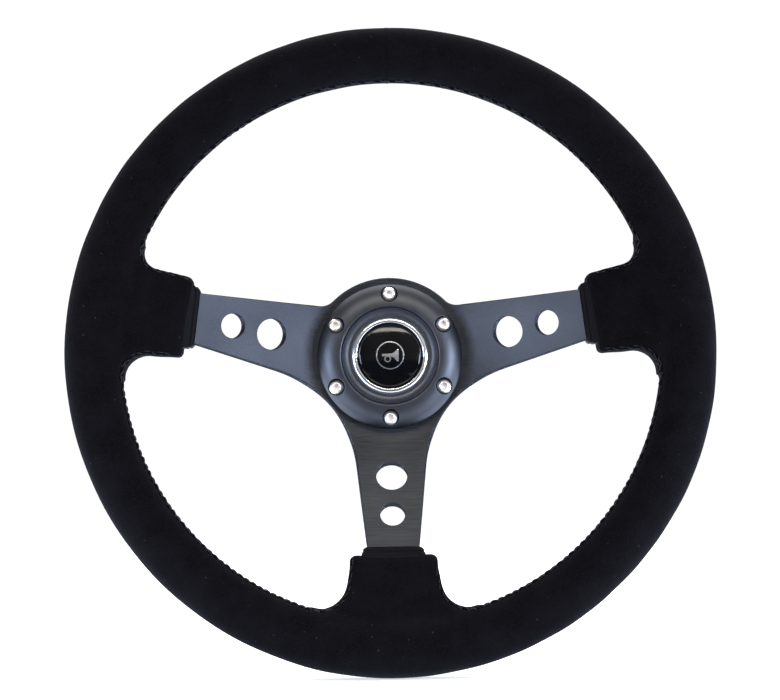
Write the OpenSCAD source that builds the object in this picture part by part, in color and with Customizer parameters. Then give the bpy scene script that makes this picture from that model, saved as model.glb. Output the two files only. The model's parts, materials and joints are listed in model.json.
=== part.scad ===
// Dished three-spoke steering wheel on a splined ball-lock quick release.
// The steering axis is row Y, with the driver on the -Y side, and +Z is up.
// Every module is built in the hub frame, where z is the height above the column's
// mounting face towards the driver, and hub_frame() lays it into the row frame.

/* [Rim] */
// Outside diameter of the rim
rim_d = 350; // [340:1:360]
// Thickness of the padded grip
grip_d = 30; // [29:0.5:31]
// Thickness of the suede cover
suede_t = 1.3; // [1:0.1:1.6]
// Diameter of the aluminium hoop inside the grip
hoop_d = 10; // [8:0.5:12]
// Depth from the back of the spoke plate to the front of the rim
dish = 76; // [70:1:82]

/* [Spokes] */
// Thickness of the spoke plate
plate_t = 5; // [4:0.5:5]
// Radius of the flat centre disc
disc_r = 45.1; // [44.5:0.1:46]
// Angle of the side spokes above the horizontal
side_spoke_angle = 10.6; // [8:0.2:13]
// Half width that the spoke edges would have at the wheel's axis
spoke_root_half = 26.26; // [25.5:0.02:27]
// Loss of half width along each millimetre of spoke
spoke_taper = 0.1115; // [0.1:0.0005:0.12]
// Distance of the two lower waists from the axis
waist_r = 43.6; // [43.2:0.1:44.4]
// Radius of the fillets above the side spokes
upper_fillet = 10; // [8:0.5:12]
// Distance of the large lightening hole from the axis
large_hole_at = 68.7; // [66:0.1:70]
// Diameter of the large lightening hole
large_hole_d = 17.6; // [14:0.1:19]
// Distance of the small lightening hole from the axis
small_hole_at = 90; // [89:0.1:92]
// Diameter of the small lightening hole
small_hole_d = 13.9; // [10:0.1:15]

/* [Spoke boots] */
// Distance from the axis to the start of the boots
boot_start = 112; // [111:0.5:114]
// Distance from the axis to the start of the cuffs
cuff_start = 106.5; // [105:0.5:108]
// Half width of a side boot above its spoke
boot_upper_half = 21.3; // [20:0.1:23]
// Half width of a side boot below its spoke
boot_lower_half = 23.8; // [22:0.1:25]
// Half width of the bottom boot
boot_bottom_half = 24.8; // [23:0.1:26]
// Half width of a cuff
cuff_half = 17.8; // [17:0.1:19]

/* [Centre ring and horn] */
// Outside radius of the centre ring
ring_r = 41; // [40.5:0.1:42]
// Inside radius of the centre ring
ring_bore_r = 27.6; // [27.5:0.1:27.9]
// Height of the centre ring at its crest
ring_crest = 9.5; // [9:0.1:10]
// Height of the centre ring at its outer edge
ring_edge = 3.2; // [2.8:0.1:3.6]
// Radius of the horn button's cap
cap_r = 18.2; // [17.8:0.1:18.3]
// Press travel of the horn button
horn_travel = 2; // [1:0.1:2]

/* [Quick release] */
// Number of spline teeth
spline_teeth = 24; // [18:1:26]
// Number of finger notches round the release collar
grip_notches = 18; // [8:1:20]

/* [Hidden] */
$fn = 96;
over = 1; // how far a cutting solid runs past the face that it cuts
blend = 0.01; // how far a fillet bites past tangency, so that no two edges coincide

// Six M5 bolts on a 70 mm circle, on both faces of the quick release
bolt_pcd = 70;
bolt_r = 2.5;
thread_fit = 0.02;
bolt_clear_r = 2.75; // in the column flange
wheel_hole_r = 2.95; // in the spoke plate and the centre ring

// Heights along the steering axis, from the column's mounting face
column_flange_t = 8;
flange_back_h = 44;
flange_t = 8;
flange_r = 41;
hub_h = flange_back_h + flange_t; // back of the spoke plate
plate_front_h = hub_h + plate_t;
grip_r = grip_d / 2;
hoop_centre_r = rim_d / 2 - grip_r;
rim_h = hub_h + dish - grip_r; // centre plane of the rim

// The spoke plate is flat out to mid_bend_r and then conical, aimed at the hoop
mid_h = hub_h + plate_t / 2;
mid_bend_r = 46.1;
slope = atan((rim_h - mid_h) / (hoop_centre_r - mid_bend_r));
bend_shift = plate_t / 2 * tan(slope / 2);
plate_end_r = hoop_centre_r - 1.5;
plate_bore_r = 25;
weld_gap = 0.1;
spoke_angles = [side_spoke_angle, 180 - side_spoke_angle, 270];

// Padding, covers and cuffs
fit_gap = 0.05;
face_gap = 0.3; // between bodies that meet face to face
pad_gap = 0.2; // between the pieces of the padding and what they wrap
pad_inset = suede_t + pad_gap;
boot_gap = 0.3; // between a boot and the grip that it sits on
boot_start_half_t = 7.6;
boot_corner = 6;
boot_fillets = [10, 14.5, 16.5]; // above a side spoke, below it, and on the bottom boot
boot_front_dr = 13; // from the rim's centre circle in to where the front of a boot ends
boot_back_dr = 6; // the same for its back
boot_front_rise = 5; // height of that end of the front above the rim's centre plane
boot_back_sink = 0.3; // how far the back of a boot ends inside the grip
boot_root = 12; // how far the sides of a boot run on into the grip, past where its back meets it
cuff_half_t = 5.2;
cuff_corner = 3;
thread_r = 0.6;
thread_angle = 30; // how far the seam sits round the grip from its innermost line

// Screws of the centre ring
head_r = 4.25;
head_t = 3.2;
head_seat_h = plate_front_h + 3.8;
counterbore_r = 4.7;
screw_tip_h = flange_back_h + 1.5;
hex_across = 4;
hex_depth = 2;
ring_crest_inset = 0.8;

// Horn button
housing_r = 24.6;
housing_bore_r = 20.4;
housing_crest_r = 27.4;
housing_crest_h = plate_front_h + 9;
lip_r = 30;
lip_t = 2;
bowl_r = 4.6;
cap_edge_h = plate_front_h + 7;
cap_crown = 3.7;
cap_wall = 2;
cap_foot_h = plate_front_h + 2.5;
cap_foot_t = 1.2;
cap_foot_r = 19.8;
dome_r = (cap_r * cap_r + cap_crown * cap_crown) / (2 * cap_crown);
dome_centre_h = cap_edge_h + cap_crown - dome_r;
badge_r = 8;
badge_t = 0.5;
bezel_in_r = 18.6;
bezel_out_r = 22.1;
bezel_seat_h = plate_front_h + 4;
bezel_top_h = plate_front_h + 9;
base_h = hub_h + 0.4;
base_t = 2;
contact_t = 0.6;
contact_in_r = 9;
contact_out_r = 13.5;
contact_post_r = [10.5, 12];
fixed_contact_h = base_h + base_t;
contact_spare = 0.3; // left between the contacts when the cap is pressed home
moving_contact_h = fixed_contact_h + contact_t + horn_travel + contact_spare;
horn_spring_r = 6.5;
horn_wire_r = 0.4;
terminal_at = 11.2;
terminal_size = [4.8, 0.8];
terminal_h = hub_h - 2.2;
lead_r = 0.7;
lead_h = hub_h - 1.1;

// Quick release, wheel side
spigot_r = 14.8;
sleeve_back_h = column_flange_t + face_gap;
sleeve_bore_r = spigot_r + 0.1;
sleeve_r = 19;
sleeve_foot_r = 24;
sleeve_foot_t = 3;
web_hole_r = 13;
terminal_recess_r = 20;
terminal_recess_t = 3;
insulator_h = 42;
sleeve_front_h = flange_back_h + sleeve_foot_t;
terminal_floor_h = hub_h - terminal_recess_t;
pin_r = 2;
pin_tip_h = 27;
pin_head_r = 3.5;
pin_head_t = 1;

// Lock balls, which follow the collar's cone at a constant ratio
ball_count = 6;
ball_r = 3;
ball_h = 22;
ball_hole_r = ball_r + 0.04;
ball_locked_r = 16.5;
ball_ratio = 0.22;
collar_travel = 7;
ball_free_r = ball_locked_r + ball_ratio * collar_travel;
ball_gap = 0.12;

// Release collar, drawn back
collar_back_h = 18.1;
collar_front_h = 41.5;
cone_at_ball = ball_free_r + (ball_r + ball_gap) / cos(atan(ball_ratio));
cone_start_h = 20;
cone_end_h = ball_h + collar_travel + 2;
collar_land_r = sleeve_r + 0.06;
spring_floor_h = 33.5;
spring_pocket_r = 24.2;
collar_body_r = 27;
collar_grip_r = 33;
collar_grip_heights = [4.5, 11]; // the gripping band, above the collar's back
collar_taper_h = 9; // from the collar's front down to where it widens
collar_chamfer = 0.5;
notch_r = 4;
notch_at = collar_grip_r + 2.4;
clip_h = 9.3;
clip_t = 1.5;
clip_groove_r = 18;
clip_r = 23.2;
clip_mouth = 12;
collar_spring_r = 21.7;
collar_wire_r = 0.75;

// Quick release, column side
spigot_tip_h = 40;
spigot_bore_r = 8;
spigot_chamfer = 1;
spline_end_h = 16.5;
spline_root_r = 15.2;
spline_tip_r = 17;
spline_half = 16 * PI / spline_teeth / 2;
spline_gap = 0.2;
spline_run_out = 0.5; // how far the sleeve's spline runs past the end of the hub's
tooth_root_extra = 0.2; // how much wider a tooth is at its root, on each flank
tooth_tip_less = 0.25; // and narrower at its tip
groove_r = ball_r + 0.2;
pilot_r = 12.5;
pilot_depth = 5;
column_head_seat_h = 2.5;
column_head_r = 5;
plug_h = [22, 39.5];
socket_h = [24, 39];
socket_r = [2.3, 3.2];

// ---- helpers ----

module hub_frame() {
  rotate([90, 0, 0]) children();
}

// The six places on the bolt circle, one of them straight up
module at_bolts() {
  for (i = [0 : 5]) rotate(90 + 60 * i) translate([bolt_pcd / 2, 0]) children();
}

module tube(inner, outer, low, high) {
  translate([0, 0, low]) difference() {
    cylinder(r = outer, h = high - low);
    translate([0, 0, -over]) cylinder(r = inner, h = high - low + 2 * over);
  }
}

module rod(radius, low, high) {
  translate([0, 0, low]) cylinder(r = radius, h = high - low);
}

module torus(ring_radius, section_radius) {
  rotate_extrude() translate([ring_radius, 0]) circle(r = section_radius);
}

// A ring of round section on the rim's centre circle
module rim_torus(section_radius) {
  translate([0, 0, rim_h]) torus(hoop_centre_r, section_radius);
}

// A rectangle of a turned profile: radii first, heights second
module band(radii, heights) {
  translate([radii[0], heights[0]]) square([radii[1] - radii[0], heights[1] - heights[0]]);
}

// A closed tube through rings of points
module skin(rings) {
  sides = len(rings[0]);
  last = len(rings) - 1;
  polyhedron(
    points = [for (ring = rings) each ring],
    faces = concat(
      [[for (k = [0 : sides - 1]) k]],
      [for (i = [0 : last - 1], k = [0 : sides - 1])
        let (n = (k + 1) % sides, a = i * sides, b = a + sides)
        [a + n, a + k, b + k, b + n]],
      [[for (k = [sides - 1 : -1 : 0]) last * sides + k]]));
}

module coil(mean_r, wire_r, low, high, turns) {
  steps = 20;
  sides = 8;
  pitch = (high - low - 2 * wire_r) / turns;
  skin([for (i = [0 : turns * steps]) [for (k = [0 : sides - 1]) let (
    a = 360 * i / steps,
    b = -360 * k / sides,
    r = mean_r + wire_r * cos(b))
    [r * cos(a), r * sin(a), low + wire_r + pitch * i / steps + wire_r * sin(b)]]]);
}

// ---- spoke plate ----

taper_angle = atan(spoke_taper);
edge_offset = spoke_root_half * cos(taper_angle); // from the axis to a spoke's edge line
lower_half_angle = (90 + side_spoke_angle) / 2; // half the angle between lower spokes
waist_sin = sin(lower_half_angle + taper_angle);
waist_arc = (waist_r * waist_sin - edge_offset) / (1 - waist_sin);
waist_centre = [waist_r + waist_arc, 0];

// Height of the plate's middle surface on its conical part
function plate_mid(radius) = mid_h + (radius - mid_bend_r) * tan(slope);

function along(angle) = [cos(angle), sin(angle)];

function spoke_half(radius) = spoke_root_half - spoke_taper * radius;

// A turn about the axis, for points in plan
function turned(p, angle) =
  [p[0] * cos(angle) - p[1] * sin(angle), p[0] * sin(angle) + p[1] * cos(angle)];

function spoke_corner(side) = [plate_end_r, side * spoke_half(plate_end_r)];

module spoke_blade(grow) {
  polygon([[0, -spoke_half(0) - grow], spoke_corner(-1) - [0, grow],
    spoke_corner(1) + [0, grow], [0, spoke_half(0) + grow]]);
}

// Just clear of where the waist arc meets a spoke's edge, with x along the middle of the gap
function waist_tangent(side) = waist_centre
  - (waist_arc - blend) * along(side * (lower_half_angle + taper_angle - 90));

waist_angles = [180 - side_spoke_angle + lower_half_angle, side_spoke_angle - lower_half_angle];

// The fillets between the centre disc and the upper edges of the side spokes
fillet_reach = disc_r + upper_fillet;
fillet_lean = 90 - taper_angle - acos((edge_offset + upper_fillet) / fillet_reach);
fillet_centre = fillet_reach * along(fillet_lean);
fillet_on_edge = fillet_centre - (upper_fillet - blend) * along(90 - taper_angle);
fillet_in_disc = fillet_centre * (disc_r - 2) / fillet_reach;

function flipped(p) = [p[0], -p[1]];

function at_right(p) = turned(p, spoke_angles[0]);

function at_left(p) = turned(p, spoke_angles[1]);

function at_bottom(p) = turned(p, spoke_angles[2]);

// The straight stretches of the plate's edge; circles add and cut the round ones
module plate_straights() {
  polygon([
    at_right(spoke_corner(-1)), at_right(spoke_corner(1)), at_right(fillet_on_edge),
    at_right(fillet_centre), at_right(fillet_in_disc),
    at_left(flipped(fillet_in_disc)), at_left(flipped(fillet_centre)),
    at_left(flipped(fillet_on_edge)), at_left(spoke_corner(-1)), at_left(spoke_corner(1)),
    turned(waist_tangent(-1), waist_angles[0]), turned(waist_tangent(1), waist_angles[0]),
    at_bottom(spoke_corner(-1)), at_bottom(spoke_corner(1)),
    turned(waist_tangent(-1), waist_angles[1]), turned(waist_tangent(1), waist_angles[1])]);
}

module plate_outline() {
  difference() {
    union() {
      circle(r = disc_r);
      plate_straights();
    }
    for (angle = waist_angles) rotate(angle) translate(waist_centre)
      circle(r = waist_arc + blend);
    translate(at_right(fillet_centre)) circle(r = upper_fillet + blend);
    translate(at_left(flipped(fillet_centre))) circle(r = upper_fillet + blend);
    circle(r = plate_bore_r);
    at_bolts() circle(r = wheel_hole_r);
  }
}

module plate_section() {
  half = plate_t / 2;
  rise = half / cos(slope);
  polygon([
    [0, mid_h - half], [mid_bend_r + bend_shift, mid_h - half],
    [plate_end_r, plate_mid(plate_end_r) - rise],
    [plate_end_r, plate_mid(plate_end_r) + rise],
    [mid_bend_r - bend_shift, mid_h + half], [0, mid_h + half]]);
}

module lightening_hole(at_radius, diameter) {
  translate([at_radius, 0, plate_mid(at_radius)]) rotate([0, -slope, 0])
    cylinder(r = diameter / 2, h = 4 * plate_t, center = true);
}

module spoke_plate() {
  color([0.25, 0.26, 0.31]) difference() {
    intersection() {
      translate([0, 0, hub_h - over]) linear_extrude(height = dish) plate_outline();
      rotate_extrude() plate_section();
    }
    for (angle = spoke_angles) rotate(angle) {
      lightening_hole(large_hole_at, large_hole_d);
      lightening_hole(small_hole_at, small_hole_d);
    }
    rim_torus(hoop_d / 2 + weld_gap);
  }
}

// The room that one spoke takes inside its padding and cuff
module spoke_room(grow) {
  half = plate_t / 2 + grow;
  rise = half / cos(slope);
  from_r = cuff_start - 5;
  intersection() {
    translate([0, 0, hub_h]) linear_extrude(height = dish) spoke_blade(grow);
    rotate_extrude() polygon([
      [from_r, plate_mid(from_r) - rise], [hoop_centre_r, plate_mid(hoop_centre_r) - rise],
      [hoop_centre_r, plate_mid(hoop_centre_r) + rise], [from_r, plate_mid(from_r) + rise]]);
  }
}

// ---- rim ----

module rim_hoop() {
  color([0.72, 0.73, 0.75]) rim_torus(hoop_d / 2);
}

module rim_foam() {
  color([0.16, 0.16, 0.17]) difference() {
    union() {
      rim_torus(grip_r - pad_inset);
      for (i = [0 : 2]) boot_body(i, pad_inset);
    }
    rim_torus(hoop_d / 2 + pad_gap);
    for (angle = spoke_angles) rotate(angle) spoke_room(pad_gap);
  }
}

module rim_cover() {
  color([0.07, 0.06, 0.07]) difference() {
    rim_torus(grip_r);
    rim_torus(grip_r - suede_t);
    for (i = [0 : 2]) boot_body(i, suede_t);
    seam_torus(thread_r + fit_gap);
  }
}

// The seam runs round the grip a little in front of its innermost line
module seam_torus(section_radius) {
  translate([0, 0, rim_h + grip_r * sin(thread_angle)])
    torus(hoop_centre_r - grip_r * cos(thread_angle), section_radius);
}

module rim_thread() {
  color([0.03, 0.03, 0.03]) difference() {
    seam_torus(thread_r);
    for (i = [0 : 2]) boot_body(i, -fit_gap);
  }
}

// ---- boots and cuffs ----

// Half widths of boot i on its counter-clockwise and clockwise sides
function boot_halves(i) = i == 0 ? [boot_upper_half, boot_lower_half]
  : i == 1 ? [boot_lower_half, boot_upper_half]
  : [boot_bottom_half, boot_bottom_half];

function boot_side_fillets(i) = i == 0 ? [boot_fillets[0], boot_fillets[1]]
  : i == 1 ? [boot_fillets[1], boot_fillets[0]]
  : [boot_fillets[2], boot_fillets[2]];

function arc(centre, radius, from_angle, to_angle, steps) =
  [for (i = [0 : steps]) centre + radius * along(from_angle + (to_angle - from_angle) * i / steps)];

// The two rounded corners where a boot or a cuff starts
function start_arcs(from_r, half_a, half_b, corner) = concat(
  arc([from_r + corner, half_a - corner], corner, 90, 180, 6),
  arc([from_r + corner, corner - half_b], corner, 180, 270, 6));

// Centre of the flare between a boot's side and the rim's inner circle
function flare_centre(half, fillet, inner_r) =
  [sqrt(pow(inner_r - fillet, 2) - pow(half + fillet, 2)), half + fillet];

module boot_outline(i, inset) {
  half = boot_halves(i) - [inset, inset];
  fillet = boot_side_fillets(i) + [inset, inset];
  inner_r = hoop_centre_r - grip_r + inset;
  centre_a = flare_centre(half[0], fillet[0], inner_r);
  centre_b = flare_centre(half[1], fillet[1], inner_r);
  angle_a = atan2(centre_a[1], centre_a[0]);
  angle_b = atan2(centre_b[1], centre_b[0]);
  flare_a = arc(centre_a, fillet[0], angle_a - asin(inset / fillet[0]), -90, 10);
  flare_b = arc(centre_b, fillet[1], angle_b - asin(inset / fillet[1]), -90, 10);
  polygon(concat(
    start_arcs(boot_start + inset, half[0], half[1], boot_corner - inset),
    [for (k = [10 : -1 : 0]) flipped(flare_b[k])],
    [flipped(flare_b[0] + boot_root * along(angle_b))],
    [[inner_r + boot_root, 0], flare_a[0] + boot_root * along(angle_a)],
    flare_a));
}

// The side view of a boot: it grows from the spoke's thickness to the grip's
module boot_section(inset) {
  start_r = boot_start + inset;
  rise = (boot_start_half_t - inset) / cos(slope);
  tube_r = grip_r - inset;
  polygon([
    [start_r, plate_mid(start_r) - rise],
    [hoop_centre_r - boot_back_dr, rim_h - sqrt(pow(tube_r, 2) - pow(boot_back_dr, 2)) + boot_back_sink],
    [hoop_centre_r - boot_back_dr, rim_h],
    [hoop_centre_r - boot_front_dr, rim_h + boot_front_rise - inset],
    [start_r, plate_mid(start_r) + rise]]);
}

module boot_body(i, inset) {
  rotate(spoke_angles[i]) intersection() {
    translate([0, 0, hub_h]) linear_extrude(height = dish) boot_outline(i, inset);
    rotate_extrude() boot_section(inset);
  }
}

module boot(i) {
  color([0.08, 0.07, 0.08]) difference() {
    boot_body(i, 0);
    boot_body(i, suede_t);
    rim_torus(grip_r + boot_gap);
    rotate(spoke_angles[i]) spoke_room(pad_gap);
  }
}

module cuff(i) {
  color([0.05, 0.05, 0.05]) difference() {
    rotate(spoke_angles[i]) intersection() {
      translate([0, 0, hub_h]) linear_extrude(height = dish)
        polygon(concat(start_arcs(cuff_start, cuff_half, cuff_half, cuff_corner),
          [[boot_start, -cuff_half], [boot_start, cuff_half]]));
      rotate_extrude() polygon([
        [cuff_start, plate_mid(cuff_start) - cuff_half_t],
        [boot_start, plate_mid(boot_start) - cuff_half_t],
        [boot_start, plate_mid(boot_start) + cuff_half_t],
        [cuff_start, plate_mid(cuff_start) + cuff_half_t]]);
    }
    rotate(spoke_angles[i]) spoke_room(pad_gap);
  }
}

// ---- centre ring and screws ----

module centre_ring() {
  crest_r = ring_bore_r + ring_crest_inset;
  run = ring_r - crest_r;
  drop = ring_crest - ring_edge;
  crown_r = (run * run + drop * drop) / (2 * drop);
  color([0.1, 0.1, 0.11]) difference() {
    rotate_extrude() difference() {
      intersection() {
        band([ring_bore_r, ring_r], [plate_front_h, plate_front_h + ring_crest]);
        translate([crest_r, plate_front_h + ring_crest - crown_r]) circle(r = crown_r);
      }
      band([0, lip_r + fit_gap], [0, plate_front_h + lip_t]);
    }
    at_bolts() rod(wheel_hole_r, hub_h, rim_h);
    at_bolts() rod(counterbore_r, head_seat_h, rim_h);
  }
}

module wheel_screws() {
  color([0.75, 0.76, 0.78]) at_bolts() difference() {
    union() {
      rod(bolt_r, screw_tip_h, head_seat_h + fit_gap);
      rod(head_r, head_seat_h, head_seat_h + head_t);
    }
    translate([0, 0, head_seat_h + head_t - hex_depth])
      cylinder(r = hex_across / 2 / cos(30), h = hex_depth + over, $fn = 6);
  }
}

// ---- horn button ----

module horn_housing() {
  color([0.06, 0.06, 0.06]) rotate_extrude() difference() {
    union() {
      band([housing_bore_r, housing_r], [base_h, plate_front_h + lip_t]);
      band([housing_bore_r, lip_r], [plate_front_h, plate_front_h + lip_t]);
      band([housing_bore_r, housing_crest_r], [plate_front_h, housing_crest_h]);
    }
    band([0, bezel_out_r + fit_gap], [bezel_seat_h, rim_h]);
    translate([bezel_out_r + fit_gap, housing_crest_h + 1]) circle(r = bowl_r);
  }
}

module horn_bezel() {
  half = (bezel_out_r - bezel_in_r) / 2;
  color([0.85, 0.86, 0.88]) rotate_extrude() {
    band([bezel_in_r, bezel_out_r], [bezel_seat_h, bezel_top_h - half]);
    translate([bezel_in_r + half, bezel_top_h - half]) circle(r = half);
  }
}

// Half disc of the dome, so that a turned profile stays on one side of the axis
module dome(radius, out_r) {
  intersection() {
    translate([0, dome_centre_h]) circle(r = radius);
    band([0, out_r], [cap_foot_h, rim_h]);
  }
}

module horn_cap() {
  color([0.02, 0.02, 0.02]) rotate_extrude() difference() {
    union() {
      difference() {
        dome(dome_r, cap_r);
        dome(dome_r - cap_wall, cap_r - cap_wall);
      }
      intersection() {
        dome(dome_r, cap_r);
        band(contact_post_r, [moving_contact_h + contact_t, rim_h]);
      }
      band([cap_r - cap_wall, cap_foot_r], [cap_foot_h, cap_foot_h + cap_foot_t]);
    }
    difference() {
      dome(dome_r + over, badge_r + fit_gap);
      dome(dome_r - badge_t, badge_r + over);
    }
  }
}

module horn_badge() {
  color([0.6, 0.61, 0.63]) rotate_extrude() difference() {
    dome(dome_r, badge_r);
    dome(dome_r - badge_t + fit_gap, badge_r + over);
  }
}

module horn_moving_contact() {
  color([0.8, 0.62, 0.3])
    tube(contact_in_r, contact_out_r, moving_contact_h, moving_contact_h + contact_t);
}

module horn_spring() {
  inner_dome_r = dome_r - cap_wall;
  reach = horn_spring_r + 2 * horn_wire_r;
  top_h = dome_centre_h + sqrt(inner_dome_r * inner_dome_r - reach * reach);
  color([0.7, 0.71, 0.73])
    coil(horn_spring_r, horn_wire_r, fixed_contact_h + fit_gap, top_h - fit_gap, 6);
}

module horn_base() {
  color([0.85, 0.84, 0.8]) difference() {
    rod(housing_bore_r - fit_gap, base_h, base_h + base_t);
    terminal_slots(fit_gap);
  }
}

module terminal_slots(grow) {
  for (side = [-1, 1]) translate([side * terminal_at, 0, terminal_h])
    translate([-terminal_size[1] / 2 - grow, -terminal_size[0] / 2 - grow, 0])
      cube([terminal_size[1] + 2 * grow, terminal_size[0] + 2 * grow,
        fixed_contact_h - terminal_h + grow]);
}

module horn_fixed_contact() {
  color([0.8, 0.62, 0.3])
    tube(contact_in_r, contact_out_r, fixed_contact_h, fixed_contact_h + contact_t);
}

module horn_terminals() {
  color([0.78, 0.78, 0.72]) terminal_slots(0);
}

// An insulated lead from the right-hand terminal to the head of the contact pin
module horn_lead() {
  sides = 8;
  steps = 12;
  start_x = terminal_at - terminal_size[1] / 2 - fit_gap;
  bow = 4;
  color([0.6, 0.08, 0.06]) skin([for (i = [0 : steps]) let (
    t = i / steps,
    x = start_x * (1 - t),
    y = bow * pow(sin(180 * t), 2),
    head = atan2(bow * PI * sin(360 * t), -start_x))
    [for (k = [0 : sides - 1]) let (b = 360 * k / sides)
      [x - lead_r * cos(b) * sin(head), y + lead_r * cos(b) * cos(head), lead_h + lead_r * sin(b)]]]);
}

// ---- quick release, wheel side ----

module wheel_flange() {
  color([0.12, 0.12, 0.13]) difference() {
    rod(flange_r, flange_back_h, hub_h);
    rod(sleeve_foot_r + fit_gap, flange_back_h - over, sleeve_front_h);
    rod(web_hole_r, flange_back_h, hub_h);
    rod(terminal_recess_r, terminal_floor_h, hub_h + over);
    at_bolts() rod(bolt_r + thread_fit, flange_back_h - over, hub_h + over);
  }
}

// Column spline in plan, grown for the matching cut in the sleeve
module spline(grow) {
  circle(r = spline_root_r + grow);
  half = spline_half / 2 + grow / 2;
  for (i = [0 : spline_teeth - 1]) rotate(360 * i / spline_teeth)
    polygon([[spigot_r - over, -half - tooth_root_extra], [spline_tip_r + grow, -half + tooth_tip_less],
      [spline_tip_r + grow, half - tooth_tip_less], [spigot_r - over, half + tooth_root_extra]]);
}

module at_balls() {
  for (i = [1 : ball_count]) at_ball(i) children();
}

module at_ball(i) {
  rotate(90 + 360 / ball_count * (i - 1)) translate([0, 0, ball_h]) children();
}

module lock_sleeve() {
  color([0.55, 0.56, 0.58]) difference() {
    union() {
      rod(sleeve_r, sleeve_back_h, sleeve_front_h);
      rod(sleeve_foot_r, flange_back_h, sleeve_front_h);
    }
    rod(sleeve_bore_r, sleeve_back_h - over, hub_h);
    translate([0, 0, sleeve_back_h - over])
      linear_extrude(height = spline_end_h + spline_run_out - sleeve_back_h + over) spline(spline_gap);
    at_balls() translate([sleeve_bore_r - over, 0, 0]) rotate([0, 90, 0])
      cylinder(r = ball_hole_r, h = sleeve_r - sleeve_bore_r + 2 * over);
    tube(clip_groove_r, sleeve_r + over, clip_h - fit_gap, clip_h + clip_t + fit_gap);
  }
}

module pin_insulator() {
  color([0.86, 0.85, 0.8]) difference() {
    union() {
      rod(sleeve_bore_r - fit_gap, insulator_h, sleeve_front_h);
      rod(web_hole_r - fit_gap, insulator_h, terminal_floor_h);
    }
    rod(pin_r, insulator_h - over, hub_h);
  }
}

module contact_pin() {
  color([0.82, 0.66, 0.32]) {
    rod(pin_r, pin_tip_h, terminal_floor_h);
    rod(pin_head_r, terminal_floor_h, terminal_floor_h + pin_head_t);
  }
}

module lock_ball(i) {
  color([0.8, 0.81, 0.83]) at_ball(i) translate([ball_free_r, 0, 0]) sphere(r = ball_r);
}

function cone_radius(height) = cone_at_ball - ball_ratio * (height - ball_h);

module release_collar() {
  color([0.2, 0.21, 0.23]) difference() {
    rotate_extrude() polygon([
      [cone_radius(cone_start_h), collar_back_h], [cone_radius(cone_start_h), cone_start_h],
      [cone_radius(cone_end_h), cone_end_h], [collar_land_r, cone_end_h],
      [collar_land_r, spring_floor_h], [spring_pocket_r, spring_floor_h],
      [spring_pocket_r, collar_front_h],
      [collar_body_r - collar_chamfer, collar_front_h],
      [collar_body_r, collar_front_h - collar_chamfer],
      [collar_body_r, collar_front_h - collar_taper_h],
      [collar_grip_r, collar_back_h + collar_grip_heights[1]],
      [collar_grip_r, collar_back_h + collar_grip_heights[0]],
      [collar_grip_r - 1, collar_back_h + collar_grip_heights[0] - 1],
      [collar_body_r, collar_back_h + 2], [collar_body_r - 1, collar_back_h]]);
    for (i = [0 : grip_notches - 1]) rotate(360 * i / grip_notches)
      translate([notch_at, 0, 0]) rod(notch_r, collar_back_h - over, collar_front_h);
  }
}

module collar_spring() {
  color([0.7, 0.71, 0.73]) coil(collar_spring_r, collar_wire_r,
    spring_floor_h + fit_gap, flange_back_h - fit_gap, 5);
}

module collar_circlip() {
  color([0.3, 0.3, 0.31]) difference() {
    tube(clip_groove_r + fit_gap, clip_r, clip_h, clip_h + clip_t);
    translate([0, -clip_mouth / 2, clip_h - over]) cube([clip_r + over, clip_mouth, clip_t + 2 * over]);
  }
}

// ---- quick release, column side ----

module column_hub() {
  color([0.62, 0.63, 0.65]) difference() {
    union() {
      rod(flange_r, 0, column_flange_t);
      rotate_extrude() polygon([
        [0, 0], [spigot_r, 0], [spigot_r, spigot_tip_h - spigot_chamfer],
        [spigot_r - spigot_chamfer, spigot_tip_h], [0, spigot_tip_h]]);
      linear_extrude(height = spline_end_h) spline(0);
    }
    translate([0, 0, ball_h]) torus(ball_locked_r, groove_r);
    rod(spigot_bore_r, -over, spigot_tip_h + over);
    rod(pilot_r, -over, pilot_depth);
    at_bolts() rod(bolt_clear_r, -over, column_flange_t + over);
    at_bolts() rod(column_head_r, column_head_seat_h, column_flange_t + over);
  }
}

module socket_insulator() {
  color([0.86, 0.85, 0.8])
    tube(socket_r[1] + fit_gap, spigot_bore_r - fit_gap, plug_h[0], plug_h[1]);
}

module contact_socket() {
  color([0.82, 0.66, 0.32]) tube(socket_r[0], socket_r[1], socket_h[0], socket_h[1]);
}

// ---- nodes ----

hub_frame() spoke_plate();
hub_frame() rim_hoop();
hub_frame() rim_foam();
hub_frame() rim_cover();
hub_frame() rim_thread();
hub_frame() boot(0);  // boot_right
hub_frame() boot(1);  // boot_left
hub_frame() boot(2);  // boot_bottom
hub_frame() cuff(0);  // cuff_right
hub_frame() cuff(1);  // cuff_left
hub_frame() cuff(2);  // cuff_bottom
hub_frame() centre_ring();
hub_frame() wheel_screws();
hub_frame() horn_housing();
hub_frame() horn_bezel();
hub_frame() horn_cap();
hub_frame() horn_badge();
hub_frame() horn_moving_contact();
hub_frame() horn_spring();
hub_frame() horn_fixed_contact();
hub_frame() horn_base();
hub_frame() horn_terminals();
hub_frame() horn_lead();
hub_frame() wheel_flange();
hub_frame() lock_sleeve();
hub_frame() pin_insulator();
hub_frame() contact_pin();
hub_frame() release_collar();
hub_frame() collar_spring();
hub_frame() collar_circlip();
hub_frame() column_hub();
hub_frame() socket_insulator();
hub_frame() contact_socket();
for (i = [1 : ball_count])
  hub_frame() lock_ball(i);
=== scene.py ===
"""Looks of the dished suede steering wheel on its splined quick release.

Geometry is worked out in millimetres in the hub frame: x to the right, y up, and the height h
from the column's mounting face towards the driver. row() turns it into the shared frame, in metres.
"""
import itertools
import json
import math

import bmesh
import bpy
import numpy as np
from mathutils import Matrix, Vector
from mathutils.geometry import delaunay_2d_cdt
from mathutils.kdtree import KDTree

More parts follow.
